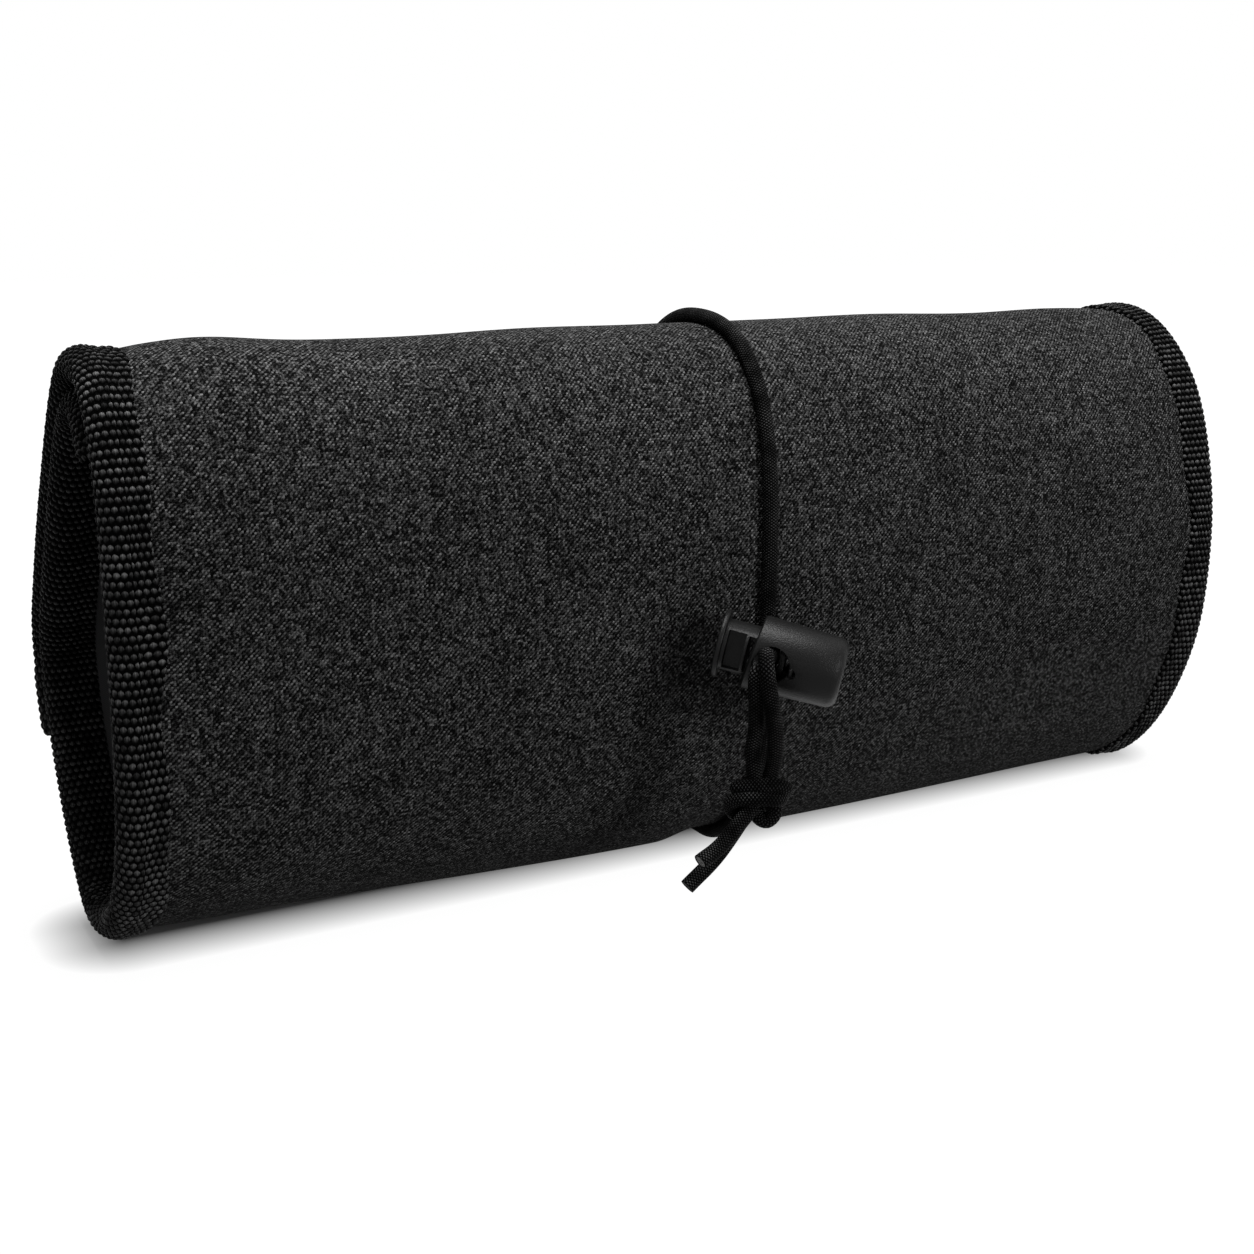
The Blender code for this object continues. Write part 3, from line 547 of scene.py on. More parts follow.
def webbing_material(name, settings):
    """Coarse black webbing: each float of the weave is a dome in the bump. Its colour carries a painted
    highlight on the crown and a painted crescent of highlight on one side, with painted shade that falls to
    near black on its sides, in the grooves between its yarns and in the gaps.
    """
    shade = Shade(name, settings.webbing_colour, 0.5, Specular_IOR_Level=0.02)
    u, v = shade.unfold()
    rows = v / settings.float_length
    index = rows.math("FLOOR")
    wander = shade.speckle(420.0, 420.0, 8.0, 1.0)
    columns = u / settings.float_width + 0.5 * (index % 2.0) + (wander - 0.5) * 0.5
    wide = (columns % 1.0 - 0.5) / 0.47
    long = (rows % 1.0 - 0.5) / 0.44
    dome = rounded(wide, long)
    # painted highlight: a pale crescent on one side of each float, from two offset domes
    painted_crescent = (dome - rounded(wide, long - 0.42) * 0.92).math("MAXIMUM", 0.0)
    yarns = (columns * 3.0).ridge() ** 0.7
    fibre = shade.speckle(5200.0, 1300.0, 0.0, 1.0)
    patch = shade.speckle(130.0, 130.0, 4.0)
    single = shade.noise(shade.place(columns.math("FLOOR") * 3.7, index * 5.3, 2.0), detail=0.0)
    # pale crowns and crescents are painted highlight; the dark float sides, yarn grooves and gaps are painted
    # shade
    painted_highlight = (dome ** 5.0) * 0.35 + painted_crescent * 1.5
    light = painted_highlight * (0.2 + fibre) * (2.0 * single) ** 1.5 * (2.0 * patch) ** 1.6 * (0.4 + 0.6 * yarns)
    colour = shade.toned(light.math("MINIMUM", 1.0), 0.01, settings.webbing_crown)
    shade.paint(Base_Color=colour, Roughness=0.8 - dome * 0.3)
    shade.bump(dome + yarns * 0.14 + fibre * 0.14, 0.0005)
    return shade.material


def cord_material(name, settings):
    """Braided elastic: two families of strands that cross in small beads round the cord. The colour paints a
    highlight on each bead's crown and shade in the grooves between the beads.
    """
    shade = Shade(name, settings.cord_colour, 0.5, Specular_IOR_Level=0.01)
    u, v = shade.unfold()
    turns, beads = u * settings.braid_strands, v / settings.braid_pitch
    bead = (turns + beads).ridge() * (turns - beads).ridge()
    fibre = shade.speckle(40.0, 2600.0)
    # painted highlight on each bead's crown and painted shade in the grooves, varied in random patches along
    # the cord
    light = (bead ** 2.6) * (0.1 + 1.4 * fibre) * (2.0 * shade.speckle(3.0, 240.0, 2.0)) ** 2.5
    colour = shade.toned(light.math("MINIMUM", 1.0), 0.04, settings.cord_bead)
    shade.paint(Base_Color=colour, Roughness=0.62 - bead * 0.16)
    shade.bump(bead + fibre * 0.3, 0.00016)
    return shade.material


def lining_material(name, settings):
    """Smooth fine lining with a faint diagonal twill and creases that catch the light."""
    colour = settings.pocket_colour if name == "pocket_cloth" else settings.lining_colour
    shade = Shade(name, colour, 0.5, Specular_IOR_Level=0.15)
    u, v = shade.unfold()
    twill = ((u + v) / settings.lining_pitch).ridge()
    mottle = shade.speckle(140.0, 60.0, 0.0, 3.0)
    light = shade.ranged(twill * 0.35 + mottle * 0.8, 0.2, 0.9)
    shade.paint(Base_Color=shade.toned(light, 0.55, 1.5), Roughness=0.42 + mottle * 0.2)
    shade.bump(twill * 0.4 + mottle, 0.0002, 0.5)
    return shade.material


def core_material(name, settings):
    """Cut end of the elastic: pale rubber threads."""
    shade = Shade(name, settings.core_colour, 0.7, Specular_IOR_Level=0.2)
    threads = shade.node("ShaderNodeTexVoronoi", (), {"Vector": shade.solid(), "Scale": 2600.0})
    shade.paint(Base_Color=shade.toned(shade.ranged(threads, 0.1, 0.75), 1.0, 0.25))
    return shade.material


def plastic_material(name, settings):
    """Black moulded plastic with a fine spark-eroded grain, worn a little smoother in patches."""
    shade = Shade(name, settings.plastic_colour, 0.4, Specular_IOR_Level=0.11)
    grain, patch = shade.noise(shade.solid(), 3600.0), shade.noise(shade.solid(), 240.0)
    shade.paint(Base_Color=shade.toned(patch, 1.0, 1.5), Roughness=0.27 + patch * 0.1 + grain * 0.08)
    shade.bump(grain, 0.00014, 0.6)
    return shade.material


def steel_material(name, settings):
    """Bright drawn spring wire."""
    shade = Shade(name, settings.steel_colour, 0.3, Metallic=0.45)
    shade.paint(Roughness=0.16 + shade.noise(shade.solid(), 900.0) * 0.14)
    return shade.material


def thread_material(name, settings):
    """Twisted black sewing thread."""
    shade = Shade(name, settings.thread_colour, 0.6, Specular_IOR_Level=0.02)
    shade.paint(Base_Color=shade.toned(shade.noise(shade.solid(), 3000.0), 1.0, 2.0))
    return shade.material


MATERIALS = {
    "charcoal_cloth": cloth_material,
    "pocket_cloth": lining_material,
    "grey_lining": lining_material,
    "black_webbing": webbing_material,
    "elastic_webbing": webbing_material,
    "braided_cord": cord_material,
    "rubber_core": core_material,
    "black_plastic": plastic_material,
    "spring_steel": steel_material,
    "sewing_thread": thread_material,
}


def material_of(kind, settings):
    """The material of one kind, made once."""
    return bpy.data.materials.get(kind) or MATERIALS[kind](kind, settings)


def linked(name, data):
    """A new object in the scene."""
    obj = bpy.data.objects.new(name, data)
    bpy.context.scene.collection.objects.link(obj)
    return obj


def settled(obj, node, body):
    """Hides the solid that a piece stands for and makes the piece ride on its body."""
    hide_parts(node)
    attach(obj, body)
    return obj


def grid_normals(points, outward):
    """Unit normals of a grid of points, turned to the given side."""
    rows = np.gradient(points, axis=0)
    columns = np.gradient(points, axis=1)
    normals = np.cross(rows, columns) * outward
    return normals / np.maximum(np.linalg.norm(normals, axis=-1, keepdims=True), 1e-12)


def paired(first, second):
    """Two lengths for each point of a grid."""
    return np.stack(np.broadcast_arrays(first, second), axis=-1)


def grid_object(name, points, flat, material, outward=1, normals=None):
    """A mesh of quads on a grid of points. flat holds each point's two lengths on the surface."""
    rows, columns = points.shape[:2]
    index = np.arange(rows * columns).reshape(rows, columns)
    around = [index[:-1, :-1], index[1:, :-1], index[1:, 1:], index[:-1, 1:]]
    quads = np.stack(around[::outward], axis=-1).reshape(-1, 4)
    mesh = bpy.data.meshes.new(name)
    mesh.from_pydata(points.reshape(-1, 3).tolist(), [], quads.tolist())
    layer = mesh.uv_layers.new(name="UVMap")
    layer.data.foreach_set("uv", flat.reshape(-1, 2)[quads.ravel()].astype(np.float32).ravel())
    mesh.shade_smooth()
    if normals is not None:
        mesh.normals_split_custom_set_from_vertices(normals.reshape(-1, 3).tolist())
    mesh.materials.append(material)
    return linked(name, mesh)


def fold_points(fold):
    """Two points on the sheet's outer face, before and after a fold line."""
    angle, half = fold
    lengths = [WRAP.length_at(angle + half), WRAP.length_at(angle - half)]
    return [Vector(WRAP.lay(0.0, length, 0.0, 0.0).tolist()) for length in lengths]


def carry(obj, bodies, fold):
    """Makes a piece ride on its body. A piece at a fold is left where it lies, with its transform baked into
    its mesh; its fold points are found but not used.
    """
    if fold:
        start, end = fold_points(fold)
        start.x = end.x = 0.0
        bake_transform(obj)
    else:
        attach(obj, bodies[0])


def stretch_rows(lengths, low, high):
    """The rows of a stretch, with the rows at both its ends."""
    first = int(np.searchsorted(lengths, WRAP.length_at(low) - 1e-9))
    last = int(np.searchsorted(lengths, WRAP.length_at(high) - 1e-9))
    return first, min(last + 1, len(lengths))


def stretch_pieces(name, lengths, points, flat, material, outward, nodes):
    """One piece for each stretch of a long grid. The pieces share their rows, and their normals run on.

    nodes pairs the name of the solid on the roll with the end of its names on the flap.
    """
    normals = grid_normals(points, outward)
    made = []
    for stretch, low, high, bodies, fold in STRETCHES:
        part = slice(*stretch_rows(lengths, low, high))
        obj = grid_object(f"{name}_{stretch}", points[part], flat[part], material, outward, normals[part])
        carry(obj, bodies, fold)
        if stretch in CARRIED:
            flap = CARRIED[stretch]
            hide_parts(*[flap + on_flap if flap else on_roll for on_roll, on_flap in nodes])
        made.append(obj)
    return made


def even(low, high, step):
    return np.linspace(low, high, max(2, round((high - low) / step) + 1))


def tape_profile(outer_leg, inner_leg, rise, step):
    """Points across a folded tape from rim to rim: insets from the edge, depths, both parts of the normal."""
    middle = STACK / 2
    reach = middle + rise
    nose = TAPE_NOSE
    turns = np.linspace(np.pi / 2, -np.pi / 2, TAPE_NOSE_POINTS)
    keys = []
    for leg, side in ((outer_leg, -1), (inner_leg, 1)):
        run = [
            (leg + 0.00015, middle - 0.0004),
            (leg, middle + rise * 0.45),
            (leg - 0.0005, middle + rise * 0.72),
            (leg - 0.0021, middle + rise * 0.60),
            (leg - 0.0040, middle + rise * 0.98),
            (nose + 0.0006, middle + rise),
        ]
        keys.append([(inset, middle + side * away) for inset, away in run])
    round_end = [(nose - nose * np.cos(turn), middle - reach * np.sin(turn)) for turn in turns]
    outline = np.array(keys[0] + round_end + keys[1][::-1])
    along = np.concatenate([[0.0], np.cumsum(np.hypot(*np.diff(outline, axis=0).T))])
    count = round(along[-1] / step)
    even_along = np.linspace(0.0, along[-1], count + 1)
    inset = np.interp(even_along, along, outline[:, 0])
    depth = np.interp(even_along, along, outline[:, 1])
    slope = np.hypot(np.gradient(inset), np.gradient(depth))
    return even_along, inset, depth, -np.gradient(depth) / slope, np.gradient(inset) / slope


def floats(across, along, settings):
    """Height of the woven floats, from 0 between them to 1 on their crowns, each row half a float on."""
    row = np.floor(along / settings.float_length)
    wide = across / settings.float_width + 0.5 * (row % 2)
    long = along / settings.float_length
    return (np.abs(np.sin(np.pi * wide)) ** 0.8) * (np.abs(np.sin(np.pi * long)) ** 0.7)


def woven_tape(settings, outer_leg, inner_leg, along, samples):
    """A folded tape, as rows of a grid: its profile, and how far its floats lift it inwards and down."""
    step = settings.float_width / samples
    profile = tape_profile(outer_leg, inner_leg, PROUD - settings.float_height, step)
    across, inset, depth, *normal = (part[None, :] for part in profile)
    return across, inset, depth, *normal, floats(across, along, settings) * settings.float_height


def side_tape(settings, side, name):
    """Webbing over one end of the roll. It lies over the end tapes at both ends of the sheet."""
    outer_leg = settings.right_leg if side > 0 else settings.left_leg
    lengths = even(LAYER_GAP, WRAP.total - LAYER_GAP, settings.float_length / settings.float_samples)
    rows = lengths[:, None]
    across, inset, depth, normal_inset, normal_depth, lift = woven_tape(
        settings, outer_leg, settings.inner_leg, rows, settings.float_samples
    )
    short_wave, long_wave = RIM_WAVES
    wave = np.sin(2 * np.pi * (rows / short_wave + side * 0.2)) * np.sin(2 * np.pi * rows / long_wave)
    outer_share = eased((inset - 0.4 * outer_leg) / (0.6 * outer_leg)) * (depth < STACK / 2)
    ends = np.minimum(rows, WRAP.total - rows)
    close = np.sqrt(np.clip(1 - (1 - np.clip(ends / TAPE_CLOSE, 0.0, 1.0)) ** 2, 0.0, 1.0))
    over_end = eased((BINDING_LEG + TAPE_OVER_END - ends) / TAPE_OVER_END) * eased(ends / TAPE_STEP_UP)
    lift = lift + settings.overlap_rise * over_end
    middle = STACK / 2
    deep = middle + (depth + lift * normal_depth - middle) * close
    away = inset + settings.rim_wave * wave * outer_share + lift * normal_inset + (1 - close) * 0.001
    points = WRAP.lay(side * (EDGE_X - away), rows, deep)
    material = material_of("black_webbing", settings)
    stretch_pieces(name, lengths, points, paired(across, rows), material, side, [(name, name)])


def end_tape(settings, name, edge, inward, body, node, samples):
    """Webbing over the first or last edge of the sheet, between the tapes of its two ends."""
    left, right = END_TAPE_INSETS
    x = even(-EDGE_X + left, EDGE_X - right, settings.float_length / samples)[:, None]
    across, inset, depth, normal_inset, normal_depth, lift = woven_tape(
        settings, BINDING_LEG, BINDING_LEG, x, samples
    )
    away = np.maximum(inset + lift * normal_inset, 0.0)
    points = WRAP.lay(x, edge + inward * away, depth + lift * normal_depth)
    obj = grid_object(name, points, paired(across, x), material_of("black_webbing", settings), -inward)
    settled(obj, node, body)


def cloth_layer(settings, name, material, depth, outward, step, nodes):
    """The outer cloth or the lining of the whole sheet, swollen beside the tapes and drawn in under them."""
    lengths = even(SHEET_INSET, WRAP.total - SHEET_INSET, step)
    x = even(SHEET_INSET - EDGE_X, EDGE_X - SHEET_INSET, step)[None, :]
    rows = lengths[:, None]
    to_leg = EDGE_X - np.where(x > 0, settings.right_leg, settings.left_leg) - np.abs(x)
    puff = np.where(x > 0, settings.right_puff, settings.left_puff)
    puff = puff * np.exp(-(((to_leg - PUFF_FROM_TAPE) / PUFF_REACH) ** 2))
    puff = puff * eased((np.minimum(rows, WRAP.total - rows) - PUFF_FROM_EDGE) / PUFF_FADE)
    puff = puff - settings.edge_pinch * np.exp(-((to_leg / PINCH_REACH) ** 2))
    resting = np.maximum(0.0, -np.sin(np.radians(np.interp(rows, WRAP.lengths, WRAP.angles)))) ** 2
    points = WRAP.lay(x, rows, depth - outward * puff * (1 - resting))
    made = material_of(material, settings)
    return stretch_pieces(name, lengths, points, paired(x, rows), made, outward, nodes)


def smooth_route(points, step):
    """A Catmull-Rom curve through the points, read at even steps."""
    knots = [Vector(point) for point in points]
    padded = [2 * knots[0] - knots[1]] + knots + [2 * knots[-1] - knots[-2]]
    found = [knots[0]]
    for before, start, end, after in zip(padded, padded[1:], padded[2:], padded[3:]):
        count = max(1, round((end - start).length / step))
        for index in range(1, count + 1):
            t = index / count
            bend = (2 * before - 5 * start + 4 * end - after) * t * t
            swing = (3 * start - before - 3 * end + after) * t * t * t
            found.append((2 * start + (end - before) * t + bend + swing) / 2)
    return found


def tube(name, path, material, cap=None):
    """A closed length of cord along a path. u runs once round it and v along it, in metres."""
    line = np.array([tuple(point) for point in path])
    heading = np.gradient(line, axis=0)
    heading /= np.linalg.norm(heading, axis=1, keepdims=True)
    side = np.cross(heading[0], (0.31, 0.52, 0.79))
    sideways = []
    for forward in heading:
        side = side - forward * np.dot(side, forward)
        side = side / np.linalg.norm(side)
        sideways.append(side)
    sideways = np.array(sideways)
    upright = np.cross(heading, sideways)
    swing = np.linspace(0.0, 2 * np.pi, TUBE_SIDES + 1)
    ring = np.cos(swing)[None, :, None] * sideways[:, None] + np.sin(swing)[None, :, None] * upright[:, None]
    points = line[:, None] + CORD_RADIUS * ring
    along = np.concatenate([[0.0], np.cumsum(np.linalg.norm(np.diff(line, axis=0), axis=1))])
    obj = grid_object(name, points, paired(swing[None, :] / (2 * np.pi), along[:, None]), material)
    bm = bmesh.new()
    bm.from_mesh(obj.data)
    bmesh.ops.remove_doubles(bm, verts=bm.verts, dist=CORD_RADIUS * 0.01)
    rims = [edge for edge in bm.edges if edge.is_boundary]
    filled = bmesh.ops.holes_fill(bm, edges=rims)["faces"]
    if cap:
        obj.data.materials.append(cap)
    inset = {"thickness": CORD_RADIUS * 0.22, "depth": CORD_RADIUS * 0.06}
    inner = bmesh.ops.inset_individual(bm, faces=filled, **inset)
    for face in filled:
        face.material_index = 1 if cap else 0
        face.smooth = False
    for face in inner["faces"]:
        face.smooth = True
    bmesh.ops.recalc_face_normals(bm, faces=bm.faces)
    bm.to_mesh(obj.data)
    bm.free()
    return obj


def in_lock(up, out, along):
    return LOCK @ Vector((up, out, along))


def cord_lane(level):
    """The height, in the lock, of one of the two cords in its hole."""
    return level * (CORD_RADIUS + CORD_STACK_GAP / 2)


def leg_to_lock(level):
    """The end of one leg of the loop: out behind the lock's hole, to the roll and round a bend."""
    start = in_lock(cord_lane(level), -LAYER_GAP, -HOLE_CORD_SHIFT)
    behind = in_lock(cord_lane(level), -BARREL_RADIUS - CORD_GAP, -HOLE_CORD_SHIFT)
    face = LOCK.translation.y + LOCK_STANDOFF - CORD_RADIUS - CORD_GAP
    corner = Vector((CORD_LEG_X, face, behind.z))
    away = (behind - corner).normalized()
    upright = Vector((0.0, 0.0, level * CORD_BEND_RADIUS))
    centre = corner + away * CORD_BEND_RADIUS + upright
    points = [start, behind]
    for step in range(CORD_BEND_STEPS + 1):
        swing = np.pi / 2 * step / CORD_BEND_STEPS
        points.append(centre - away * (CORD_BEND_RADIUS * np.sin(swing)) - upright * np.cos(swing))
    return points


def loop_route():
    """The cord's middle, from the lock up the front, over the roll, under it and up the front to the lock."""
    upper = leg_to_lock(1)
    lower = leg_to_lock(-1)
    over = []
    under = []
    last = WRAP.length_at(FLAP_END_ANGLE + TURN - CORD_LAST_ANGLE)
    for length in even(SHEET_INSET, last, 2 * CORD_RADIUS):
        angle = float(np.interp(length, WRAP.lengths, WRAP.angles))
        rim = eased((CORD_OVER_BINDING - length) / (CORD_OVER_BINDING - BINDING_LEG))
        bridge = max(0.0, 1 - (FLAP_END_ANGLE + TURN - angle) / CORD_BRIDGE_ANGLE)
        lift = PROUD * rim + (WRAP_PITCH + PROUD) * bridge ** 2
        point = Vector(WRAP.lay(CORD_X, length, -CORD_RADIUS - CORD_GAP - lift, 0.0).tolist())
        above = point.z > LOCK_HEIGHT
        if QUARTER < angle < 3 * QUARTER:
            leg = upper[-1] if above else lower[-1]
            away = abs(point.z - LOCK_HEIGHT) - abs(leg.z - LOCK_HEIGHT)
            if away < CORD_BEND_RADIUS:
                continue
            reach = CORD_UPPER_SHIFT_HEIGHT if above else CORD_LOWER_SHIFT_HEIGHT
            share = max(0.0, 1 - away / reach)
            point.x += (leg.x - point.x) * share * share * (3 - 2 * share)
        if angle <= QUARTER or (above and angle < 3 * QUARTER):
            over.append(point)
        else:
            under.append(point)
    return upper + over[::-1] + under[::-1] + lower[::-1]


def softened(node, name, material, width, slant):
    """A copy of a rigid piece with its corners rounded and its faces shaded smooth between them."""
    mesh = FRAME["nodes"][node].data.copy()
    mesh.name = name
    bm = bmesh.new()
    bm.from_mesh(mesh)
    bmesh.ops.remove_doubles(bm, verts=bm.verts, dist=MERGE_DISTANCE)
    bmesh.ops.dissolve_limit(bm, angle_limit=np.radians(FLAT_ANGLE), verts=bm.verts, edges=bm.edges)
    if slant:
        to_lock = LOCK.inverted()
        for vert in bm.verts:
            place = to_lock @ vert.co
            place.z += slant * place.x * float(np.clip(-place.z / HOLE_FROM_MOUTH, 0.0, 1.0)) ** 2
            past = place.z + HOLE_FROM_MOUTH - BARREL_LENGTH + CLOSED_END
            taper = float(np.clip(past / CLOSED_END, 0.0, 1.0))
            place.xy *= 1 - CLOSED_END_TAPER * taper * taper
            vert.co = LOCK @ place
    least = np.radians(CORNER_ANGLE)
    corners = [edge for edge in bm.edges if edge.is_manifold and edge.calc_face_angle(0.0) > least]
    rounding = {"offset": width, "offset_type": "OFFSET", "segments": 2, "profile": 0.5}
    bmesh.ops.bevel(bm, geom=corners, affect="EDGES", clamp_overlap=True, **rounding)
    bmesh.ops.triangulate(bm, faces=[face for face in bm.faces if len(face.verts) > 4])
    bm.to_mesh(mesh)
    bm.free()
    mesh.shade_smooth()
    mesh.set_sharp_from_angle(angle=np.radians(SHARP_ANGLE))
    mesh.materials.clear()
    mesh.materials.append(material)
    return linked(name, mesh)


class Tree(Nodes):
    """A Geometry Nodes tree with named inputs: lengths or counts, and a material."""

    def __init__(self, name, inputs):
        group = bpy.data.node_groups.new(name, "GeometryNodeTree")
        super().__init__(group)
        group.interface.new_socket("Geometry", in_out="INPUT", socket_type="NodeSocketGeometry")
        self.keys = {}
        for label, value in inputs.items():
            socket = group.interface.new_socket(label, in_out="INPUT", socket_type="NodeSocketFloat")
            socket.default_value = value
            self.keys[label] = socket.identifier
        socket = group.interface.new_socket("Material", in_out="INPUT", socket_type="NodeSocketMaterial")
        self.keys["Material"] = socket.identifier
        group.interface.new_socket("Geometry", in_out="OUTPUT", socket_type="NodeSocketGeometry")
        self.start = self.node("NodeGroupInput")

    def finish(self, geometry):
        """Ends the tree with one plain, smooth and painted mesh."""
        smooth = self.node("GeometryNodeSetShadeSmooth", (), {"Geometry": geometry})
        solid = self.node("GeometryNodeRealizeInstances", (), {0: smooth})
        inputs = {"Geometry": solid, "Material": self.start.other("Material")}
        painted = self.node("GeometryNodeSetMaterial", (), inputs)
        self.feed(self.tree.nodes.new("NodeGroupOutput").inputs[0], painted)
        return self


def stitch_tree():
    """Stitches along a path: short threads, each a thin tube that narrows towards both its ends."""
    tree = Tree("stitches", {"Pitch": 0.003, "Stitch length": 0.0022, "Thread radius": 0.0002})
    given = tree.start.other
    path = tree.node("GeometryNodeMeshToCurve", (), {0: given("Geometry")})
    inputs = {"Curve": path, "Length": given("Pitch")}
    spots = tree.node("GeometryNodeCurveToPoints", {"mode": "LENGTH"}, inputs)
    half = given("Stitch length") * 0.5
    ends = [tree.node("ShaderNodeCombineXYZ", (), {2: end}) for end in (half * -1.0, half)]
    line = tree.node("GeometryNodeCurvePrimitiveLine", (), {"Start": ends[0], "End": ends[1]})
    line = tree.node("GeometryNodeResampleCurve", (), {"Curve": line, "Count": 5})
    thick = tree.node("GeometryNodeSplineParameter").ridge() * 0.75 + 0.25
    thick = thick * given("Thread radius")
    line = tree.node("GeometryNodeSetCurveRadius", (), {"Curve": line, "Radius": thick})
    ring = tree.node("GeometryNodeCurvePrimitiveCircle", (), {"Resolution": 6, "Radius": 1.0})
    inputs = {"Curve": line, "Profile Curve": ring, "Scale": thick, "Fill Caps": True}
    thread = tree.node("GeometryNodeCurveToMesh", (), inputs)
    inputs = {"Points": spots, "Instance": thread, "Rotation": spots.other("Rotation")}
    return tree.finish(tree.node("GeometryNodeInstanceOnPoints", (), inputs))


def coil_tree():
    """A compression spring along Z."""
    tree = Tree("coil_spring", {"Turns": 6.0, "Coil radius": 0.0024, "Height": 0.006, "Wire radius": 0.0003})
    given = tree.start.other
    radius = given("Coil radius")
    inputs = {"Resolution": 40, "Start Radius": radius, "End Radius": radius, "Rotations": given("Turns")}
    helix = tree.node("GeometryNodeCurveSpiral", (), {**inputs, "Height": given("Height")})
    inputs = {"Resolution": 12, "Radius": given("Wire radius")}
    ring = tree.node("GeometryNodeCurvePrimitiveCircle", (), inputs)
    inputs = {"Curve": helix, "Profile Curve": ring, "Fill Caps": True}
    return tree.finish(tree.node("GeometryNodeCurveToMesh", (), inputs))


def grown(name, tree, values, path):
    """The plain mesh that a tree makes on a path of points."""
    base = bpy.data.meshes.new(name + "_path")
    base.from_pydata([tuple(point) for point in path], [(i, i + 1) for i in range(len(path) - 1)], [])
    carrier = linked(name + "_path", base)
    modifier = carrier.modifiers.new("made", "NODES")
    modifier.node_group = tree.tree
    for label, value in values.items():
        modifier[tree.keys[label]] = value
    bpy.context.view_layer.update()
    graph = bpy.context.evaluated_depsgraph_get()
    mesh = bpy.data.meshes.new_from_object(carrier.evaluated_get(graph), depsgraph=graph)
    mesh.name = name
    bpy.data.objects.remove(carrier, do_unlink=True)
    return linked(name, mesh)


def seam(settings, tree, name, side, leg, depth):
    """A row of stitches along one end tape's leg, as one piece for each stretch of the sheet."""
    lengths = even(SEAM_INSET, WRAP.total - SEAM_INSET, SEAM_STEP)
    points = WRAP.lay(side * (EDGE_X - leg + SEAM_FROM_RIM), lengths, depth)
    values = {
        "Pitch": settings.stitch_pitch,
        "Stitch length": settings.stitch_pitch * STITCH_SHARE,
        "Thread radius": settings.thread_radius,
        "Material": material_of("sewing_thread", settings),
    }
    for stretch, low, high, bodies, fold in STRETCHES:
        obj = grown(f"{name}_{stretch}", tree, values, points[slice(*stretch_rows(lengths, low, high))])
        carry(obj, bodies, fold)


def inner_piece(name, node, material, x, rows, rise, flat):
    """A piece that lies on the lining of the fixed roll."""
    points = WRAP.lay(x, rows, STACK + LAYER_GAP + rise)
    settled(grid_object(name, points, flat, material, -1), node, "roll")


def measured_cord(obj, path, **more):
    """Measures the length of a cord's path. Nothing is done with the length."""
    length = sum((end - start).length for start, end in zip(path, path[1:]))


def colour_setting(name, description, *channels):
    return bpy.props.FloatVectorProperty(
        name=name, description=description, default=channels, subtype="COLOR", min=0.0, max=1.0
    )


def length_setting(name, description, default):
    return bpy.props.FloatProperty(
        name=name, description=description, default=default, unit="LENGTH", precision=5
    )


def number_setting(name, description, default):
    return bpy.props.FloatProperty(name=name, description=description, default=default, min=0.0)


class OrganizerClothSettings(bpy.types.PropertyGroup):
    """Sizes and colours of the cloth, lining and sewing."""

    cloth_colour: colour_setting("Cloth colour", "Mean colour of the outer cloth", 0.024, 0.024, 0.024)
    cloth_roughness: number_setting("Cloth roughness", "Roughness of the outer cloth", 0.85)
    yarn_dark: number_setting("Dark yarns", "Darkest yarn, as a share of the cloth's colour", 0.04)
    yarn_light: number_setting("Light yarns", "Lightest yarn, as a share of the cloth's colour", 8.2)
    yarn_contrast: number_setting("Yarn contrast", "How few of the yarns are pale", 2.4)
    thread_pitch: length_setting("Thread pitch", "Distance between threads of the outer cloth", 0.00044)
    cloth_step: length_setting("Cloth grid", "Size of the cloth's quads", 0.0016)
    left_puff: length_setting("Left puff", "How far the padded cloth swells beside the left tape", 0.0018)
    right_puff: length_setting("Right puff", "How far the padded cloth swells beside the right tape", 0.0004)
    edge_pinch: length_setting("Edge pinch", "How far the seam draws the cloth in under the tapes", 0.0003)
    lining_colour: colour_setting("Lining colour", "Mean colour of the lining", 0.030, 0.030, 0.031)
    pocket_colour: colour_setting("Pocket colour", "Mean colour of the pocket", 0.026, 0.026, 0.027)
    lining_pitch: length_setting("Lining pitch", "Distance between ribs of the lining's twill", 0.0005)
    thread_colour: colour_setting("Thread colour", "Colour of the sewing thread", 0.003, 0.003, 0.003)
    thread_radius: length_setting("Thread radius", "Radius of the sewing thread", 0.00019)
    stitch_pitch: length_setting("Stitch pitch", "Distance from one stitch to the next", 0.0032)


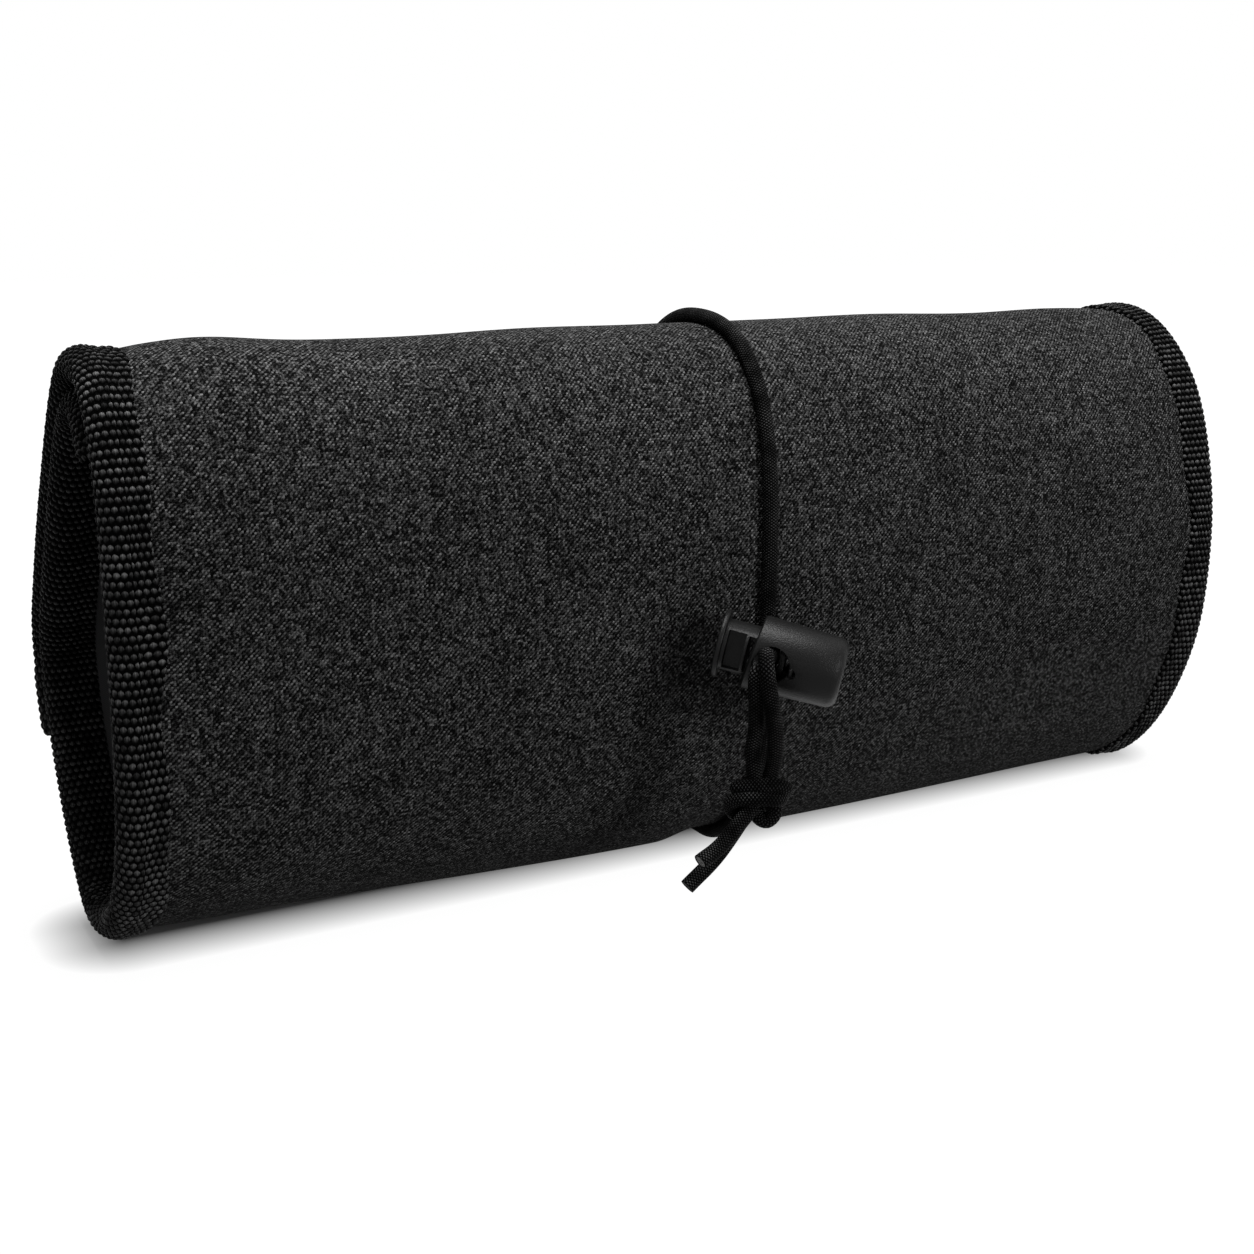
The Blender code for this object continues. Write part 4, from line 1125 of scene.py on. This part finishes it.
class OrganizerTrimSettings(bpy.types.PropertyGroup):
    """Sizes and colours of the webbing, cord and cord lock."""

    webbing_colour: colour_setting("Webbing colour", "Mean colour of the webbing", 0.013, 0.013, 0.013)
    # Palest crown: the strength of the webbing's painted highlight
    webbing_crown: number_setting("Webbing crowns", "Palest crown, as a share of the webbing's colour", 9.0)
    float_length: length_setting("Float length", "Length of one float of the webbing's weave", 0.00148)
    float_width: length_setting("Float width", "Width of one float of the webbing's weave", 0.00118)
    float_height: length_setting("Float height", "How far each float stands up", 0.00034)
    float_samples: bpy.props.IntProperty(
        name="Float samples", description="Grid lines across one float", default=4, min=2, max=8
    )
    left_leg: length_setting("Left tape", "Width of the left tape on the outer cloth", 0.0078)
    inner_leg: length_setting("Inner leg", "Width of both tapes on the lining", 0.0092)
    right_leg: length_setting("Right tape", "Width of the right tape on the outer cloth", 0.0080)
    rim_wave: length_setting("Rim wave", "How far the tapes' rims wander", 0.0011)
    overlap_rise: length_setting("Overlap rise", "How far a side tape stands up over an end tape", 0.0003)
    cord_colour: colour_setting("Cord colour", "Mean colour of the elastic cord", 0.0045, 0.0045, 0.0045)
    core_colour: colour_setting("Core colour", "Colour of the rubber in the cord's cut end", 0.42, 0.42, 0.41)
    # Palest bead: the strength of the cord's painted highlight
    cord_bead: number_setting("Cord beads", "Palest bead of the braid, as a share of the cord's colour", 12.0)
    braid_strands: number_setting("Braid strands", "Strands of the cord's braid in one direction", 10.0)
    braid_pitch: length_setting("Braid pitch", "Length of one bead of the cord's braid", 0.00056)
    plastic_colour: colour_setting("Plastic colour", "Colour of the cord lock", 0.005, 0.005, 0.005)
    steel_colour: colour_setting("Steel colour", "Colour of the lock's spring", 0.85, 0.85, 0.86)


class Settings:
    """Both groups of settings read as one."""

    def __init__(self, context):
        self.groups = (context.scene.organizer_cloth, context.scene.organizer_trim)

    def __getattr__(self, name):
        for group in self.groups:
            if name in group.bl_rna.properties:
                return getattr(group, name)
        raise AttributeError(name)


class ORGANIZER_OT_cloth(bpy.types.Operator):
    """Makes the outer cloth over its foam, in stretches that meet at the flap's folds"""

    bl_idname = "organizer.cloth"
    bl_label = "Outer cloth"

    def execute(self, context):
        settings = Settings(context)
        nodes = [("outer_fabric", "fabric"), ("foam_padding", "foam")]
        step = settings.cloth_step
        for obj in cloth_layer(settings, "outer_cloth", "charcoal_cloth", 0.0, 1, step, nodes):
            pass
        return {"FINISHED"}


class ORGANIZER_OT_lining(bpy.types.Operator):
    """Makes the lining on the sheet's inner face"""

    bl_idname = "organizer.lining"
    bl_label = "Lining"

    def execute(self, context):
        settings = Settings(context)
        nodes = [("inner_lining", "lining")]
        step = 2 * settings.cloth_step
        cloth_layer(settings, "lining", "grey_lining", STACK, -1, step, nodes)
        return {"FINISHED"}


class ORGANIZER_OT_tapes(bpy.types.Operator):
    """Makes the webbing folded over the four edges of the sheet"""

    bl_idname = "organizer.tapes"
    bl_label = "Webbing tapes"

    def execute(self, context):
        settings = Settings(context)
        side_tape(settings, -1, "binding_left")
        side_tape(settings, 1, "binding_right")
        samples = settings.float_samples
        end_tape(settings, "flap_edge_tape", 0.0, 1, "flap_3", "flap_binding_end", samples)
        samples = INNER_TAPE_SAMPLES
        end_tape(settings, "inner_edge_tape", WRAP.total, -1, "roll", "binding_inner_end", samples)
        return {"FINISHED"}


class ORGANIZER_OT_seams(bpy.types.Operator):
    """Sews the tapes down with rows of stitches"""

    bl_idname = "organizer.seams"
    bl_label = "Seams"

    def execute(self, context):
        settings = Settings(context)
        tree = stitch_tree()
        outer = SEAM_SUNK - PROUD
        inner = STACK + PROUD - SEAM_SUNK
        seam(settings, tree, "seam_left_outer", -1, settings.left_leg, outer)
        seam(settings, tree, "seam_right_outer", 1, settings.right_leg, outer)
        seam(settings, tree, "seam_left_inner", -1, settings.inner_leg, inner)
        seam(settings, tree, "seam_right_inner", 1, settings.inner_leg, inner)
        return {"FINISHED"}


class ORGANIZER_OT_inside(bpy.types.Operator):
    """Makes the pocket, its hem and the elastic band on the lining of the inner turn"""

    bl_idname = "organizer.inside"
    bl_label = "Pocket and band"

    def execute(self, context):
        settings = Settings(context)
        wide_step, long_step = BAND_STEPS
        half = EDGE_X - BINDING_LEG - LAYER_GAP
        low, high = (WRAP.length_at(angle) for angle in POCKET_ANGLES)
        x = even(-half, half, POCKET_STEP)[None, :]
        rows = even(low, high, POCKET_STEP)[:, None]
        ease = POCKET_EASE * np.cos(np.pi * x / (2 * half)) ** 2
        rise = POCKET_LIFT + ease * eased((rows - low) / (high - low))
        material = material_of("pocket_cloth", settings)
        inner_piece("pocket_cloth", "pocket_panel", material, x, rows, rise, paired(x, rows))

        x = even(-half, half, wide_step)[None, :]
        rows = even(high - HEM_WIDTH, high + HEM_OVERHANG, long_step)[:, None]
        middle = high + (HEM_OVERHANG - HEM_WIDTH) / 2
        rounding = np.sqrt(np.clip(1 - (2 * (rows - middle) / (HEM_WIDTH + HEM_OVERHANG)) ** 8, 0.0, 1.0))
        ease = POCKET_EASE * np.cos(np.pi * x / (2 * half)) ** 2
        rise = ease + HEM_RISE * rounding + HEM_WEAVE * floats(rows, x, settings)
        material = material_of("black_webbing", settings)
        inner_piece("pocket_hem_tape", "pocket_hem", material, x, rows, rise, paired(rows, x))

        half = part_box("elastic_loop_band")[1].x
        x = even(-half, half, wide_step)[None, :]
        low, high = (WRAP.length_at(angle) for angle in BAND_ANGLES)
        rows = even(low, high, long_step)[:, None]
        loop = np.abs(np.sin(np.pi * (x + half) / (2 * half) * BAND_LOOPS)) ** 0.8
        rise = BAND_LIFT + BAND_LOOP_RISE * loop + BAND_WEAVE * floats(rows, x, settings)
        material = material_of("elastic_webbing", settings)
        inner_piece("elastic_band", "elastic_loop_band", material, x, rows, rise, paired(rows, x))
        return {"FINISHED"}


class ORGANIZER_OT_cord(bpy.types.Operator):
    """Makes the elastic cord round the roll"""

    bl_idname = "organizer.cord"
    bl_label = "Elastic cord"

    def execute(self, context):
        path = smooth_route(loop_route(), ROUTE_STEP)
        obj = tube("elastic_cord", path, material_of("braided_cord", Settings(context)))
        settled(obj, "cord_loop", "closure")
        measured_cord(obj, path, far_end="object", lay="taut")
        return {"FINISHED"}


class ORGANIZER_OT_lock(bpy.types.Operator):
    """Makes the cord lock: barrel, button and spring"""

    bl_idname = "organizer.lock"
    bl_label = "Cord lock"

    def execute(self, context):
        settings = Settings(context)
        plastic = material_of("black_plastic", settings)
        for node, name, body, width, slant in (
            ("cord_lock_barrel", "lock_barrel", "lock", 0.00016, MOUTH_SLANT),
            ("cord_lock_plunger", "lock_button", "button", 0.00012, 0.0),
        ):
            settled(softened(node, name, plastic, width, slant), node, body)
        low = -HOLE_CORD_SHIFT + CORD_RADIUS + LOCK_GAP + STEM_WALL + LOCK_GAP + SPRING_WIRE
        high = -HOLE_FROM_MOUTH + BARREL_LENGTH - BARREL_END_WALL - LOCK_GAP - SPRING_WIRE
        values = {
            "Turns": SPRING_TURNS,
            "Coil radius": SPRING_RADIUS,
            "Height": high - low,
            "Wire radius": SPRING_WIRE,
            "Material": material_of("spring_steel", settings),
        }
        coil = grown("lock_spring", coil_tree(), values, [(0.0, 0.0, 0.0), (0.0, 0.0, 0.001)])
        coil.data.transform(LOCK @ Matrix.Translation((0.0, 0.0, low)))
        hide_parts("cord_lock_spring")
        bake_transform(coil)
        return {"FINISHED"}


class ORGANIZER_OT_tail(bpy.types.Operator):
    """Makes the cord's tail: two strands, the knot and the cut ends"""

    bl_idname = "organizer.tail"
    bl_label = "Knotted tail"

    def execute(self, context):
        settings = Settings(context)
        braid = material_of("braided_cord", settings)
        core = material_of("rubber_core", settings)
        centre = LOCK.translation
        knot = centre + Vector(KNOT_OFFSET)
        yaw = np.radians(CAMERA_YAW)
        sides = Matrix(((np.cos(yaw), -np.sin(yaw), 0.0), (0.0, 0.0, 1.0), (-np.sin(yaw), -np.cos(yaw), 0.0)))
        from_knot = Matrix.Translation(knot) @ sides.transposed().to_4x4()
        pieces = []
        for name, wrap in KNOT_WRAPS.items():
            points = [from_knot @ Vector(spot) for spot in wrap]
            pieces.append(tube(name, smooth_route(points, WRAP_STEP), braid))
        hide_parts("tail_knot")
        for name, cap in (("tail_end_long", None), ("tail_end_short", core)):
            start, *route = TAIL_ENDS[name]
            points = [from_knot @ Vector(start)] + [centre + Vector(offset) for offset in route]
            obj = tube(name + "_braid", smooth_route(points, ROUTE_STEP), braid, cap)
            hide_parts(name)
            pieces.append(obj)
        for obj in pieces:
            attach(obj, "lock")
        for name, level, route, node, goes_with in (
            ("tail_strand_1", 1, STRAND_RIGHT_ROUTE, "tail_strand_right", pieces),
            ("tail_strand_2", -1, STRAND_LEFT_ROUTE, "tail_strand_left", []),
        ):
            points = [in_lock(cord_lane(level), out, -HOLE_CORD_SHIFT) for out in (LAYER_GAP, BARREL_RADIUS)]
            points += [centre + Vector(offset) for offset in route] + [knot + level * STRAND_END]
            path = smooth_route(points, ROUTE_STEP)
            obj = settled(tube(name, path, braid), node, "lock")
            measured_cord(obj, path, far_end="knot", lay="hanging", with_pieces=goes_with)
        return {"FINISHED"}


class ORGANIZER_OT_stage(bpy.types.Operator):
    """Sets the floor, the light and the camera"""

    bl_idname = "organizer.stage"
    bl_label = "Studio"

    def execute(self, context):
        scene = context.scene
        scene.view_settings.view_transform = "Standard"
        self.floor()
        world = scene.world = bpy.data.worlds.new("studio")
        world.use_nodes = True
        sky = Nodes(world.node_tree)
        ground = sky.tree.nodes["Background"]
        ground.inputs["Color"].default_value = WHITE
        sky.feed(ground.inputs["Strength"], sky.seen() * (1.0 - AMBIENT) + AMBIENT)
        for name, place, aim, size, power in LAMPS:
            light = bpy.data.lights.new(name, "AREA")
            light.shape = "SQUARE"
            light.size = size
            light.energy = power
            self.aimed(linked(name, light), place, Vector(aim) - Vector(place))
        camera = bpy.data.cameras.new("camera")
        camera.lens = CAMERA_LENS
        camera.sensor_width = 36.0
        camera.clip_start = 0.01
        camera.clip_end = 20.0
        yaw = np.radians(CAMERA_YAW)
        pitch = np.radians(CAMERA_PITCH)
        forward = Vector((np.sin(yaw) * np.cos(pitch), np.cos(yaw) * np.cos(pitch), -np.sin(pitch)))
        scene.camera = linked("camera", camera)
        self.aimed(scene.camera, CAMERA_PLACE, forward)
        return {"FINISHED"}

    def aimed(self, obj, place, towards):
        """Puts a lamp or a camera in its place and points it."""
        obj.matrix_world = Matrix.Translation(place) @ towards.to_track_quat("-Z", "Y").to_matrix().to_4x4()

    def floor(self):
        """A pale floor that glows white away from the object. Near the roll's footprint the glow fades out
        and the floor shows its own dark colour, a painted shadow that the real shadow darkens further.
        """
        half = FLOOR_SIZE / 2
        mesh = bpy.data.meshes.new("studio_floor")
        corners = [(-half, -half, 0.0), (half, -half, 0.0), (half, half, 0.0), (-half, half, 0.0)]
        mesh.from_pydata(corners, [], [(0, 1, 2, 3)])
        shade = Shade("studio_white", FLOOR_COLOUR, 0.9, Specular_IOR_Level=0.1)
        x = shade.node("ShaderNodeSeparateXYZ", (), {0: shade.solid()})
        # painted shadow: the glow fades out round the roll's footprint, leaving the floor's own dark colour
        beyond_x = (abs(x) - SHADOW_HALF_LENGTH).math("MAXIMUM", 0.0)
        beyond_y = (abs(x.other(1) - SHADOW_Y) - SHADOW_HALF_DEPTH).math("MAXIMUM", 0.0)
        away = (beyond_x * beyond_x + beyond_y * beyond_y) ** 0.5
        glow_past_painted_shadow = shade.ranged(away, 0.0, SHADOW_FADE, 0.0, 0.9) + shade.ranged(away, 0.01, 0.05, 0.0, 0.1)
        glow = shade.node("ShaderNodeEmission", (), {"Color": WHITE, "Strength": FLOOR_GLOW})
        inputs = {0: shade.seen() * glow_past_painted_shadow, 1: Value(shade, shade.surface.outputs[0]), 2: glow}
        mixed = shade.node("ShaderNodeMixShader", (), inputs)
        shade.feed(shade.tree.nodes["Material Output"].inputs["Surface"], mixed)
        mesh.materials.append(shade.material)
        linked("studio_floor", mesh)


class ORGANIZER_PT_panel(bpy.types.Panel):
    """Lists the organizer's pieces and settings"""

    bl_idname = "ORGANIZER_PT_panel"
    bl_label = "Roll-up organizer"
    bl_space_type = "VIEW_3D"
    bl_region_type = "UI"
    bl_category = "Organizer"

    def draw(self, context):
        for operator in OPERATORS:
            self.layout.operator(operator.bl_idname)
        for group in (context.scene.organizer_cloth, context.scene.organizer_trim):
            for prop in group.bl_rna.properties:
                if prop.identifier not in ("rna_type", "name"):
                    self.layout.prop(group, prop.identifier)


OPERATORS = (
    ORGANIZER_OT_cloth,
    ORGANIZER_OT_lining,
    ORGANIZER_OT_tapes,
    ORGANIZER_OT_seams,
    ORGANIZER_OT_inside,
    ORGANIZER_OT_cord,
    ORGANIZER_OT_lock,
    ORGANIZER_OT_tail,
    ORGANIZER_OT_stage,
)
CLASSES = (OrganizerClothSettings, OrganizerTrimSettings, *OPERATORS, ORGANIZER_PT_panel)


def register():
    for one in CLASSES:
        bpy.utils.register_class(one)
    bpy.types.Scene.organizer_cloth = bpy.props.PointerProperty(type=OrganizerClothSettings)
    bpy.types.Scene.organizer_trim = bpy.props.PointerProperty(type=OrganizerTrimSettings)


def unregister():
    del bpy.types.Scene.organizer_trim
    del bpy.types.Scene.organizer_cloth
    for one in reversed(CLASSES):
        bpy.utils.unregister_class(one)


def main():
    register()
    for operator in OPERATORS:
        group, name = operator.bl_idname.split(".")
        getattr(getattr(bpy.ops, group), name)()


if __name__ == "__main__":
    main()
